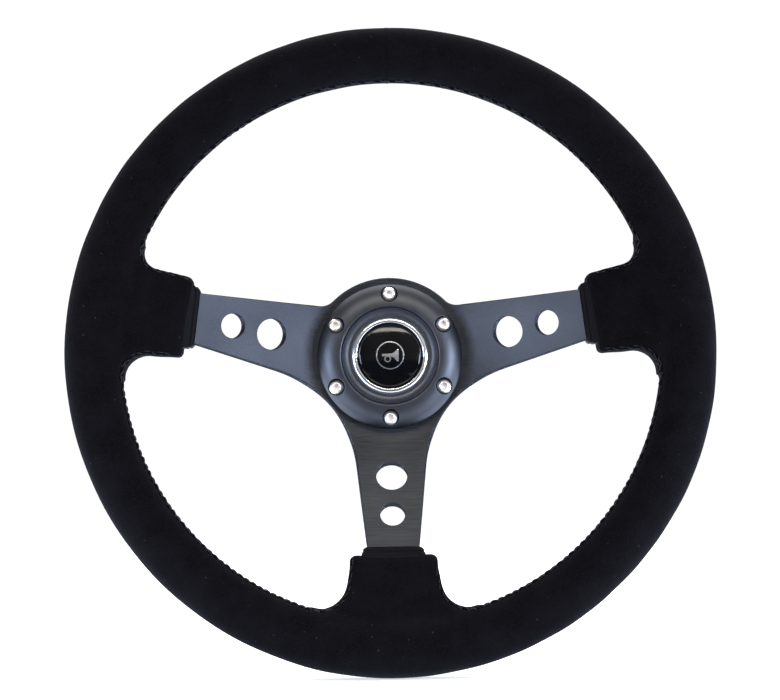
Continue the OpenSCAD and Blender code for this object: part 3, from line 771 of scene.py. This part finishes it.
def wrap_joint():
    """The seam across the grip at the top, where the cover's ends meet."""
    turn = np.linspace(0, TURN, 97)[:-1]
    ring = np.column_stack([hoop_r - grip_r * np.cos(turn), np.zeros(96), rim_h + grip_r * np.sin(turn)])
    path = settle(padding_distance, spin(ring, WRAP_JOINT_AT), 2)
    normals = unit(slope_of(padding_distance, path))
    piece("wrap_joint", *joined(lips(path, normals, True, 0.5, 0.42)), "suede", sharp=180)


# ---- cuffs ----

CUFF_START = 106.5
CUFF_END = 114.5
CUFF_HALF = 17.4
CUFF_HALF_T = 5.2
CUFF_SET_BACK = (1.5, 1.5, 0)
CUFF_LEANS = (0.06, -0.06, 0)
SPOKE_HALF_AT_AXIS = 26.26
SPOKE_TAPER = 0.1115


def spoke_half(radius):
    return SPOKE_HALF_AT_AXIS - SPOKE_TAPER * radius


def cuff_distance(p):
    """A folded leather lip round the spoke, with a crease between its two folds."""
    radius = np.hypot(p[:, 0], p[:, 1])
    corner = start_corner(CUFF_START, CUFF_HALF, 3.8)
    end = [(CUFF_END, -CUFF_HALF - 0.4), (CUFF_END, CUFF_HALF + 0.4)]
    plan = np.concatenate([end, corner[::-1], corner * (1, -1)])
    off = (p[:, 2] - plate_mid(radius)) * slope_cos
    thick = np.abs(off) - CUFF_HALF_T
    crease = 0.55 * np.exp(-((p[:, 0] - CUFF_START - 2.6) / 0.55) ** 2)
    d = corner_min(outline_distance(p[:, 0], p[:, 1], plan), thick, 1.9) + crease
    slot = np.maximum(np.abs(p[:, 1]) - spoke_half(p[:, 0]), np.abs(off) - plate_t / 2) - 0.1
    return np.maximum(d, -slot)


def cuffs():
    centre = float(plate_mid(np.array(110.0)))
    low = (CUFF_START - 2, -CUFF_HALF - 3, centre - 14)
    high = (CUFF_END + 2.5, CUFF_HALF + 3, centre + 14)
    points, faces = surface(cuff_distance, low, high, 0.42)
    for name, angle, back, lean in zip(("right", "left", "bottom"), spoke_angles, CUFF_SET_BACK, CUFF_LEANS):
        node = "cuff_" + name
        moved = points + np.outer(back + lean * points[:, 1], (1, 0, slope))
        made = piece("leather_" + node, spin(moved, angle), faces, "cuff_leather", replaces=(node,), sharp=60)


# ---- spoke plate ----

DISC_R = 45.1
WAIST_R = 43.6
UPPER_FILLET = 10
PLATE_BORE_R = 25
PLATE_EDGE = 0.35
HOLES = ((68.7, 8.8), (90.0, 6.95))


def plate_outline():
    """The spoke plate in plan: three tapered spokes, two waists below and two fillets above."""
    taper = math.degrees(math.atan(SPOKE_TAPER))
    edge = spoke_half(0) * math.cos(math.radians(taper))
    end = hoop_r - 6
    half_gap = (90 + side_angle) / 2
    s = math.sin(math.radians(half_gap + taper))
    waist = (WAIST_R * s - edge) / (1 - s)
    reach = DISC_R + UPPER_FILLET
    lean = 90 - taper - math.degrees(math.acos((edge + UPPER_FILLET) / reach))
    fillet = arc(spin((reach, 0), lean), UPPER_FILLET, 270 - taper, 180 + lean, 10)
    tip = [(end, -spoke_half(end)), (end, spoke_half(end))]
    right = spin(np.concatenate([tip, fillet]), side_angle)
    left = (right * (-1, 1))[::-1]
    disc = arc((0, 0), DISC_R, side_angle + lean, 180 - side_angle - lean, 40)[1:-1]
    bottom = spin(np.array(tip), 270)
    turn = 90 - half_gap - taper
    bow = arc((WAIST_R + waist, 0), waist, 180 + turn, 180 - turn, 28)
    waist_left, waist_right = spin(bow, 180 - side_angle + half_gap), spin(bow, side_angle - half_gap)
    return np.concatenate([right, disc, left, waist_left, bottom, waist_right])


def inward(loop, distance):
    """A closed counter-clockwise loop moved to its left."""
    way = heading(loop, True)
    return loop + distance * np.stack([-way[:, 1], way[:, 0]], -1)


def circle(centre, radius, steps, clockwise=False):
    return polar(radius, np.arange(steps) * TURN / steps * (-1 if clockwise else 1), centre)


def lifted(plan, level):
    """Plan points on the sheet level millimetres in front of the plate's middle surface."""
    radius = np.maximum(np.hypot(plan[:, 0], plan[:, 1]), 1e-6)
    lean = np.arctan((plate_mid(radius + 0.05) - plate_mid(radius - 0.05)) / 0.1)
    out = radius - level * np.sin(lean)
    return np.column_stack([plan * (out / radius)[:, None], plate_mid(radius) + level * np.cos(lean)])


def spoke_plate():
    loops = [resample(np.concatenate([plate_outline(), plate_outline()[:1]]), 1.3)[:-1]]
    loops.append(circle((0, 0), PLATE_BORE_R, 96, True))
    for k in range(6):
        loops.append(circle(spin((BOLT_AT, 0), 90 + 60 * k), BOLT_HOLE_R, 32, True))
    for angle, (at, hole_r) in itertools.product(spoke_angles, HOLES):
        loops.append(spin(circle((0, 0), hole_r, 72, True) * (slope_cos, 1) + (at, 0), angle))
    parts, half = [], plate_t / 2
    turn = np.radians(np.linspace(0, 90, 5))
    rim = [(PLATE_EDGE * (1 - math.sin(a)), half - PLATE_EDGE * (1 - math.cos(a))) for a in turn]
    bands = rim + [(inset, -level) for inset, level in rim[::-1]]
    for loop in loops:
        rings = np.concatenate([lifted(inward(loop, inset), level) for inset, level in bands])
        parts.append((rings, strip(len(bands), len(loop), False, True)))
    flat = [inward(loop, PLATE_EDGE) for loop in loops]
    support = [inward(loop, PLATE_EDGE + 0.25) for loop in loops]
    # rings of points make the bend's triangles small, and keep the others from growing long
    inner = [circle((0, 0), r, 150) for r in np.arange(40.5, 52, 0.9)]
    inner += [circle((0, 0), r, 110) for r in (28, 32, 37)]
    inner += [circle((0, 0), r, int(r * TURN / 3)) for r in np.arange(54, 153, 3)]
    extra = np.concatenate(inner)
    kept = outline_distance(*extra.T, support[0]) <= -0.8
    for loop in support[1:]:
        kept &= outline_distance(*extra.T, loop) >= 0.8
    verts = np.concatenate(flat + support + [extra[kept]])
    edges, start = [], 0
    for loop in flat + support:
        edges += [(start + i, start + (i + 1) % len(loop)) for i in range(len(loop))]
        start += len(loop)
    out = delaunay_2d_cdt([Vector(v) for v in verts], edges, [], 0, 1e-5)
    plan = np.array([tuple(v) for v in out[0]])
    faces = np.array(out[2])
    middle = plan[faces].mean(1)
    wanted = outline_distance(*middle.T, flat[0]) < 0
    for loop in flat[1:]:
        wanted &= outline_distance(*middle.T, loop) > 0
    for level in (half, -half):
        parts.append((lifted(plan, level), faces[wanted].tolist()))
    piece("brushed_spokes", *joined(parts), "spoke_anodised", replaces=("spoke_plate",), sharp=50)


# ---- rings with six holes ----

# steps round a bolt's sixth of a ring: on its outer arc, its inner arc and each side
OUTER_STEPS, INNER_STEPS, SIDE_STEPS = 24, 18, 8
EDGE_STEPS = 4


def sector_edge(inner_r, outer_r):
    """From the bolt to points round its sixth of a ring: outer arc, side, inner arc and other side."""
    half = math.pi / 6
    edges = [
        (outer_r, np.linspace(-half, half, OUTER_STEPS + 1)[:-1]),
        (np.linspace(outer_r, inner_r, SIDE_STEPS + 1)[:-1], half),
        (inner_r, np.linspace(half, -half, INNER_STEPS + 1)[:-1]),
        (np.linspace(inner_r, outer_r, SIDE_STEPS + 1)[:-1], -half)]
    return np.concatenate([polar(*edge) for edge in edges]) - (BOLT_AT, 0)


def drilled_sheet(inner_r, outer_r, hole_r, height, edge, sign):
    """One face of a ring with six holes, rounded down (sign 1) or up (sign -1) into each hole."""
    border = sector_edge(inner_r, outer_r)
    way, reach = unit(border), np.linalg.norm(border, axis=1)
    gaps = [edge * (1 - math.cos(a)) for a in np.linspace(0, math.pi / 2, EDGE_STEPS + 1)] + [edge + 0.15]
    rows = [
        (np.minimum(hole_r + gap, reach), edge - math.sqrt(max(edge ** 2 - max(edge - gap, 0) ** 2, 0)))
        for gap in gaps]
    for t in np.linspace(0, 1, 10)[1:]:
        rows.append((rows[len(gaps) - 1][0] * (1 - t) + reach * t, 0.0))
    points = []
    for out, drop in rows:
        plan = (BOLT_AT, 0) + way * out[:, None]
        points.append(at_height(plan, height(np.hypot(*plan.T)) - sign * drop))
    return np.concatenate(points), strip(len(rows), len(border), False, True)


def hole_wall(inner_r, outer_r, outline, top=None):
    """The wall of a hole, from (radius, height) pairs; a first height of None meets the face above."""
    way = unit(sector_edge(inner_r, outer_r))
    rows = []
    for radius, h in outline:
        plan = (BOLT_AT, 0) + way * radius
        rows.append(at_height(plan, top(np.hypot(*plan.T)) if h is None else h))
    return np.concatenate(rows), strip(len(outline), len(way), False, True)


def six(parts):
    """The same parts at each of the six bolts."""
    points, faces = joined(parts)
    return [(spin(points, 90 + 60 * k), faces) for k in range(6)]


def skirt(outline, radius):
    """A turned wall whose points line up with a sector's arc."""
    return lathe(outline, 6 * (OUTER_STEPS if radius > BOLT_AT else INNER_STEPS), closed=False)


def centre_ring():
    bore, crest_r, edge, seat_r = 27.6, 28.4, 0.3, 4.7
    drop = ring_top - front_h - 3.2
    run = ring_r - crest_r
    crown = (run * run + drop * drop) / (2 * drop)

    def top(radius):
        out = np.maximum(radius - crest_r, 0)
        inward_lip = np.maximum(crest_r - radius, 0) ** 2 * 0.6
        return ring_top - crown + np.sqrt(np.maximum(crown ** 2 - out ** 2, 0)) - inward_lip

    inner_top, outer_top = bore + 0.25, ring_r - 0.25
    counterbore = [
        (seat_r, None), (seat_r, seat_h + 0.2), (seat_r - 0.2, seat_h), (BOLT_HOLE_R + 0.1, seat_h),
        (BOLT_HOLE_R, seat_h - 0.1), (BOLT_HOLE_R, front_h + 0.1)]
    parts = six([
        drilled_sheet(inner_top, outer_top, seat_r, top, edge, 1),
        drilled_sheet(bore, ring_r, BOLT_HOLE_R, lambda r: np.full_like(r, front_h), 0.1, -1),
        hole_wall(inner_top, outer_top, counterbore, lambda r: top(r) - edge)])
    outer_h, inner_h = (float(top(np.array(r))) for r in (outer_top, inner_top))
    outer = [(outer_top, outer_h), (ring_r - 0.08, outer_h - 0.28), (ring_r, outer_h - 0.6),
             (ring_r, outer_h - 0.8), (ring_r, front_h)]
    inner = [(inner_top, inner_h), (bore + 0.06, inner_h - 0.15), (bore, inner_h - 0.4), (bore, front_h)]
    parts += [skirt(outer, ring_r), skirt(inner, bore)]
    piece("dished_ring", *joined(parts), "ring_anodised", replaces=("centre_ring",), sharp=50)


def screw(turn):
    """A socket screw: domed head, hexagonal socket and a threaded shank, on its own axis."""
    steps, across_flats, head_t, pitch = 48, 4.0, 3.2, 0.8
    angle = np.arange(steps) * TURN / steps
    flat = across_flats / 2 / np.cos((angle + TURN / 12) % (TURN / 6) - TURN / 12)
    around = polar(1, angle + turn)
    top = seat_h + head_t
    tip = extent("wheel_screws")[1]
    rows = [(flat * 0.02, top - 2.15), (flat * 0.6, top - 2.0), (flat * 0.96, top - 1.9), (flat, top - 1.8),
            (flat, top - 0.4), (flat + 0.1, top - 0.22), (flat * 0.4 + 1.6, top - 0.12),
            (2.6, top - 0.22), (2.95, top - 0.4), (3.3, top - 0.65), (3.65, top - 1.0), (3.95, top - 1.45),
            (4.15, top - 1.95), (4.24, top - 2.4), (4.25, seat_h + 0.3), (4.1, seat_h + 0.05),
            (4.0, seat_h), (2.5, seat_h), (2.5, seat_h - 0.3)]
    for k in range(int((seat_h - 1 - tip) / (pitch / 2))):
        rows.append((2.5 if k % 2 else 2.2, seat_h - 0.6 - pitch / 2 * k))
    rows += [(1.9, tip), (0.02, tip)]
    points = [at_height(around * np.broadcast_to(r, steps)[:, None], h) for r, h in rows]
    return np.concatenate(points), strip(len(rows), steps, False, True)


def screws():
    parts = []
    for k in range(6):
        points, faces = screw(0.4 + 1.9 * k)
        parts.append((spin(points + (BOLT_AT, 0, 0), 90 + 60 * k), faces))
    piece("ring_screws", *joined(parts), "screw_steel", replaces=("wheel_screws",), sharp=40)


# ---- horn button ----


def turned(name, outline, slot, nodes, body="wheel", steps=192, shape=None, sharp=38):
    return piece(name, *lathe(outline, steps, shape), slot, body, nodes, sharp)


def surround():
    base, crest_h, floor_h = extent("horn_housing")[1], front_h + 9, front_h + 4
    inner, wall_r, outer, foot_r = 20.4, 22.15, 27.4, 29.9
    foot = rounded([(24.6, base, 0.5), (24.6, front_h, 0.0), (foot_r, front_h, 0.3),
                    (foot_r, front_h + 1.9, 0.3), (outer, front_h + 1.9, 0.3), (outer, crest_h, 0.4)])[:-3]
    lip = [(outer, crest_h - 0.5), (outer - 0.08, crest_h - 0.2), (outer - 0.3, crest_h)]
    bowl = arc((wall_r, front_h + 10), 4.6, -78, -6, 14)[::-1]
    bore = [(wall_r, front_h + 5.4), (wall_r, floor_h), (inner, floor_h), (inner, base)]
    turned("horn_surround", np.concatenate([foot, lip, bowl, bore]), "horn_rubber", ("horn_housing",))


def bezel():
    inner, outer, low, high = 18.6, 22.1, front_h + 4, extent("horn_bezel")[2]
    crest = arc((inner + 0.95, high - 2.35), 2.35, 26, 102, 13)
    outline = np.concatenate([
        rounded([(inner, low, 0.3), (outer, low, 0.3)], 4), [(outer, high - 1.9), (outer - 0.03, high - 1.7)],
        crest, [(inner + 0.16, high - 0.25), (inner, high - 0.6)]])
    turned("chrome_bezel", outline, "bezel_chrome", ("horn_bezel",))


def cap():
    cap_r, foot_r, bore_r, post_out, post_in, inlay_r, wall = 18.2, 19.8, 16.2, 12.0, 10.5, 8.05, 2
    edge_h, foot_h, post_h = front_h + 7, front_h + 2.5, front_h + 0.9
    crown = extent("horn_cap")[2] - edge_h
    dome_r = (cap_r ** 2 + crown ** 2) / (2 * crown)
    centre_h = edge_h + crown - dome_r

    def on_dome(radius, under=0.0):
        return radius, centre_h + math.sqrt((dome_r - under) ** 2 - radius * radius)

    dome = [on_dome(r) for r in (inlay_r, *np.linspace(inlay_r + 0.3, cap_r - 1.1, 16))]
    edge_top = dome[-1][1]
    shoulder = [(cap_r - 0.75, edge_top - 0.22), (cap_r - 0.42, edge_top - 0.5),
                (cap_r - 0.14, edge_top - 0.95), (cap_r, edge_top - 1.5), (cap_r, foot_h + 1.5)]
    foot = rounded([(cap_r, foot_h + 1.2, 0.0), (foot_r, foot_h + 1.2, 0.3),
                    (foot_r, foot_h, 0.3), (bore_r, foot_h, 0.2)])
    under = [on_dome(bore_r, wall), on_dome(post_out, wall), (post_out, post_h), (post_in, post_h),
             on_dome(post_in, wall), on_dome(6, wall), on_dome(0.001, wall)]
    floor_h = on_dome(inlay_r)[1] - 0.45
    well = [(0.001, floor_h + 0.02), (inlay_r, floor_h)]
    outline = np.concatenate([dome, shoulder, foot, under, well])
    turned("gloss_cap", outline, "cap_plastic", ("horn_cap",), "horn_button", sharp=30)
    badge(dome_r, centre_h)


def badge(dome_r, centre_h):
    """A plain enamelled disc let into the cap: a polished rim round a bugle, the usual sign for a horn."""
    rim_out, rim_in, floor = 7.98, 7.3, -0.45

    def dome(radius, lift=0.0):
        return centre_h + np.sqrt((dome_r + lift) ** 2 - np.asarray(radius, float) ** 2)

    def on_dome(*places):
        """Outline points from each radius, its lift, and how far it then moves out."""
        return [(radius + out, float(dome(radius, lift))) for radius, lift, out in places]

    parts = [lathe(on_dome((rim_out, floor, 0), (rim_out, -0.05, 0), (rim_out, 0.05, -0.08),
                           (rim_in, 0.05, 0.08), (rim_in, -0.05, 0), (rim_in, floor, 0)), 128)]
    mouth = [(-4.6, 0.75, 0.3), (-2.6, 0.75, 0.5), (1.6, 1.1, 0.8), (4.2, 3.4, 0.3), (4.8, 3.4, 0.3)]
    bugle = rounded(mouth + [(x, -y, reach) for x, y, reach in mouth[::-1]])
    spine = bugle * (1, 0.02)
    loop, hollow = circle((-1.4, -2.1), 1.9, 40), circle((-1.4, -2.1), 1.2, 40)
    # each shell: its share of the outer line, from the inner one, and its lift above the dome
    for outer, inner, shells in (
            (bugle, spine, ((0, 0.06), (0.2, 0.06), (0.8, 0.06), (0.97, 0.04), (1, -0.02), (1, floor))),
            (loop, hollow, ((0, floor), (0, -0.02), (0.05, 0.05), (0.95, 0.05), (1, -0.02), (1, floor)))):
        rows = []
        for share, lift in shells:
            plan = outer * share + inner * (1 - share)
            rows.append(at_height(plan, dome(np.hypot(*plan.T), lift)))
        parts.append((np.concatenate(rows), strip(len(shells), len(outer), False, True)))
    piece("horn_sign", *joined(parts), "badge_metal", "horn_button", ("horn_badge",), 30)
    field = on_dome(*((r, -0.12, 0) for r in np.linspace(0.001, rim_in, 10)))
    under = on_dome((rim_in, floor + 0.02, 0), (0, floor + 0.02, 0.001))
    piece("sign_enamel", *lathe(field + under, 96), "cap_plastic", "horn_button", (), 30)


# ---- quick release ----


def springs():
    for name, node, mean_r, wire_r, turns, back_body, front_body in (
            ("return_spring", "collar_spring", 21.7, 0.75, 5, "collar", "wheel"),
            ("button_spring", "horn_spring", 6.5, 0.4, 6, "wheel", "horn_button")):
        _, low, high = extent(node)
        t = np.linspace(0, 1, turns * 40 + 1)
        angle = t * turns * TURN
        # the end turns lie nearly flat
        rise = np.interp(t, [0, 0.12, 0.88, 1], [0, 0.04, 0.96, 1])
        h = low + wire_r + rise * (high - low - 2 * wire_r)
        path = at_height(polar(mean_r, angle), h)
        normals = np.tile((0.0, 0.0, 1.0), (len(path), 1))
        made = piece(name, *pipe(path, normals, wire_r, 12), "spring_steel", None, (node,), 60)
        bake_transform(made)


def subdivided(outline, longest):
    """A closed outline with extra points along its long stretches."""
    made = []
    for a, b in zip(outline, np.roll(outline, -1, 0)):
        count = max(int(np.linalg.norm(b - a) / longest), 1)
        made += [a + (b - a) * t for t in np.arange(count) / count]
    return np.array(made)


def release_collar():
    _, back, front = extent("release_collar")
    body_r, crest_r, notch_r, notches = 27.0, 33.0, 4.0, 18
    notch_at, soften, clear = crest_r + 2.4, 0.9, 60
    outline = rounded([
        (21.675, back, 0.4), (21.675, back + 1.9, 0.3), (19.255, back + 12.9, 0.2),
        (19.06, back + 13.0, 0.1), (19.06, back + 15.4, 0.2), (24.2, back + 15.4, 0.3), (24.2, front, 0.3),
        (26.6, front, 0.3),
        (body_r, front - 0.5, 0.4), (body_r, front - 9, 1.6), (crest_r, back + 11, 1.6),
        (crest_r, back + 4.5, 0.6), (crest_r - 1, back + 3.5, 0.6), (body_r, back + 2, 0.8),
        (26, back, 0.4)], 5)
    outline = subdivided(outline, 0.8)

    def notched(angle, radius):
        pitch = TURN / notches
        off = (angle + pitch / 2) % pitch - pitch / 2
        side = notch_at * np.sin(off)
        reach = notch_at * np.cos(off) - np.sqrt(np.maximum(notch_r ** 2 - side ** 2, 0))
        reach = np.where(np.abs(side) < notch_r, reach, clear)
        return np.where(radius > body_r - 0.5, smooth_min(radius, reach, soften), radius)

    turned("knurled_collar", outline, "collar_anodised", ("release_collar",), "collar", 540, notched, 45)


def wheel_flange():
    outer_r, back, front = extent("wheel_flange")
    edge, hole_r, pocket_r, web_r, recess_r = 0.8, 2.52, 24.05, 13.0, 20.0
    flat_r = outer_r - edge
    parts = six([
        drilled_sheet(recess_r + 0.3, flat_r, hole_r, lambda r: np.full_like(r, front), 0.3, 1),
        drilled_sheet(pocket_r + 0.3, flat_r, hole_r, lambda r: np.full_like(r, back), 0.5, -1)])
    parts += six([hole_wall(pocket_r, flat_r, [(hole_r, front - 0.3), (hole_r, back + 0.5)])])
    round_edge = rounded([(flat_r - 3, front, 0), (outer_r, front, edge), (outer_r, back, edge),
                          (flat_r - 3, back, 0)], 5, 0)
    parts.append(skirt(round_edge[1:-1], outer_r))
    inner = [(recess_r + 0.3, front), (recess_r, front - 0.3), (recess_r, front - 3), (web_r, front - 3),
             (web_r, back + 3), (pocket_r, back + 3), (pocket_r, back + 0.3), (pocket_r + 0.3, back)]
    parts.append(skirt(inner, web_r))
    piece("bolted_flange", *joined(parts), "flange_anodised", replaces=("wheel_flange",), sharp=40)


# ---- surroundings ----


def area_light(name, place, aim, size, power, colour):
    """A light of a size in metres and a power in watts that the camera doesn't see."""
    data = bpy.data.lights.new(name, "AREA")
    data.shape = "RECTANGLE"
    data.size, data.size_y = size
    data.energy = power
    data.color = colour
    light = placed(name, data)
    light.location = place
    light.visible_camera = False
    light.rotation_euler = (Vector(aim) - Vector(place)).to_track_quat("-Z", "Y").to_euler()


def world():
    """Even pale surroundings for the camera; a studio that is dim behind the camera for everything else."""
    made = bpy.data.worlds.new("studio")
    made.use_nodes = True
    tree = made.node_tree
    tree.nodes.clear()
    way = add_node(tree, "SeparateXYZ", {0: add_node(tree, "TexCoord").outputs["Generated"]})

    def ramp(axis, *stops):
        """A colour that follows one axis of the direction, from -1 to 1."""
        share = add_node(tree, "MapRange", {"Value": way.outputs[axis], "From Min": -1}).outputs[0]
        new = add_node(tree, "ValToRGB", {0: share})
        while len(new.color_ramp.elements) < len(stops):
            new.color_ramp.elements.new(0.5)
        for element, (at, *colour) in zip(new.color_ramp.elements, stops):
            element.position = (at + 1) / 2
            element.color = (*colour, 1)
        return new.outputs[0]

    def blended(kind, first, second):
        inputs = {0: 1, 6: first, 7: second}
        return add_node(tree, "Mix", inputs, data_type="RGBA", blend_type=kind).outputs[2]

    depth = ramp("Y", (-1, 0.36, 0.34, 0.33), (-0.84, 0.46, 0.44, 0.44), (-0.68, 0.6, 0.61, 0.69),
                 (-0.5, 1.0, 1.04, 1.2), (0.2, 0.7, 0.72, 0.8), (1, 1, 1, 1))
    across = ramp("X", (-1, 0.22, 0.22, 0.24), (-0.6, 0.36, 0.36, 0.38), (-0.2, 1, 1, 1),
                  (0.5, 1, 1, 1), (1, 0.5, 0.51, 0.54))
    above = ramp("Z", (-1, 0, 0, 0), (0.3, 0, 0, 0), (0.8, 0.14, 0.135, 0.11), (1, 0.4, 0.39, 0.35))
    ceiling = ramp("Z", (-1, 1, 1, 1), (0.35, 1, 1, 1), (0.8, 0.5, 0.5, 0.5))
    light = blended("ADD", blended("MULTIPLY", blended("MULTIPLY", depth, across), ceiling), above)
    seen = add_node(tree, "Background", {"Color": (1.05, 1.05, 1.06, 1)})
    lit = add_node(tree, "Background", {"Color": light})
    camera_ray = add_node(tree, "LightPath").outputs["Is Camera Ray"]
    mixed = add_node(tree, "MixShader", {0: camera_ray, 1: lit.outputs[0], 2: seen.outputs[0]})
    add_node(tree, "OutputWorld", {0: mixed.outputs[0]})
    bpy.context.scene.world = made


def floor():
    """A pale table top; what it throws back at the wheel fades out towards the camera."""
    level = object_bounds()[0].z - 0.0002
    corners = [(x * 6.0, y * 6.0, level) for x, y in ((-1, -1), (1, -1), (1, 1), (-1, 1))]
    mesh = bpy.data.meshes.new("studio_floor")
    mesh.from_pydata(corners, [], [(0, 1, 2, 3)])
    paint = Paint("floor_paint", 0.9, Emission_Strength=0.55, Emission_Color=(0.97, 0.98, 1, 1))
    paint.colour(paint.mix(paint.noise(400, 2), (0.9, 0.9, 0.91), (0.93, 0.93, 0.94)))
    where = paint.node("SeparateXYZ", {"Vector": paint.place()}).outputs
    sideways = paint.math("ABSOLUTE", where["X"])

    def glow(value, low, high, most):
        return paint.spread(value, low, high, 0.14, most)

    beside = paint.math("MINIMUM", glow(sideways, 0.2, 0.34, 5.0), glow(where["Y"], -0.55, -0.4, 5.0))
    under = paint.math("MINIMUM", glow(where["Y"], -0.33, -0.24, 4.6), glow(sideways, 0.05, 0.15, 4.6))
    near = paint.math("MAXIMUM", glow(where["Y"], -0.27, -0.19, 2.1), beside)
    strength = paint.math("MAXIMUM", near, under)
    thrown = paint.node("Emission", {"Color": (0.72, 0.82, 1.0, 1), "Strength": strength})
    camera_ray = paint.node("LightPath").outputs["Is Camera Ray"]
    mixed = paint.node("MixShader", {0: camera_ray, 1: thrown.outputs[0], 2: paint.shader.outputs[0]})
    paint.tree.links.new(mixed.outputs[0], paint.tree.nodes["Material Output"].inputs[0])
    mesh.materials.append(paint.material)
    placed("studio_floor", mesh)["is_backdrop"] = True


padding()
wrap_joint()
cuffs()
spoke_plate()
centre_ring()
screws()
surround()
bezel()
cap()
springs()
release_collar()
wheel_flange()
floor()
world()
for name, side, power in (("left_box", -1.1, 13), ("right_box", 1.1, 20)):
    area_light(name, (side, -0.85, -0.02), (0, -0.08, 0), (0.7, 0.3), power, (0.66, 0.8, 1.08))
area_light("top_strip", (0, -0.86, 0.62), (0, -0.06, 0), (1.1, 0.08), 4.4, (1, 0.97, 0.84))
area_light("floor_light", (0, 0.9, 1.8), (0, 0.6, -0.2), (3, 2), 70, (1, 1, 1))
bpy.context.scene.view_settings.view_transform = "Standard"
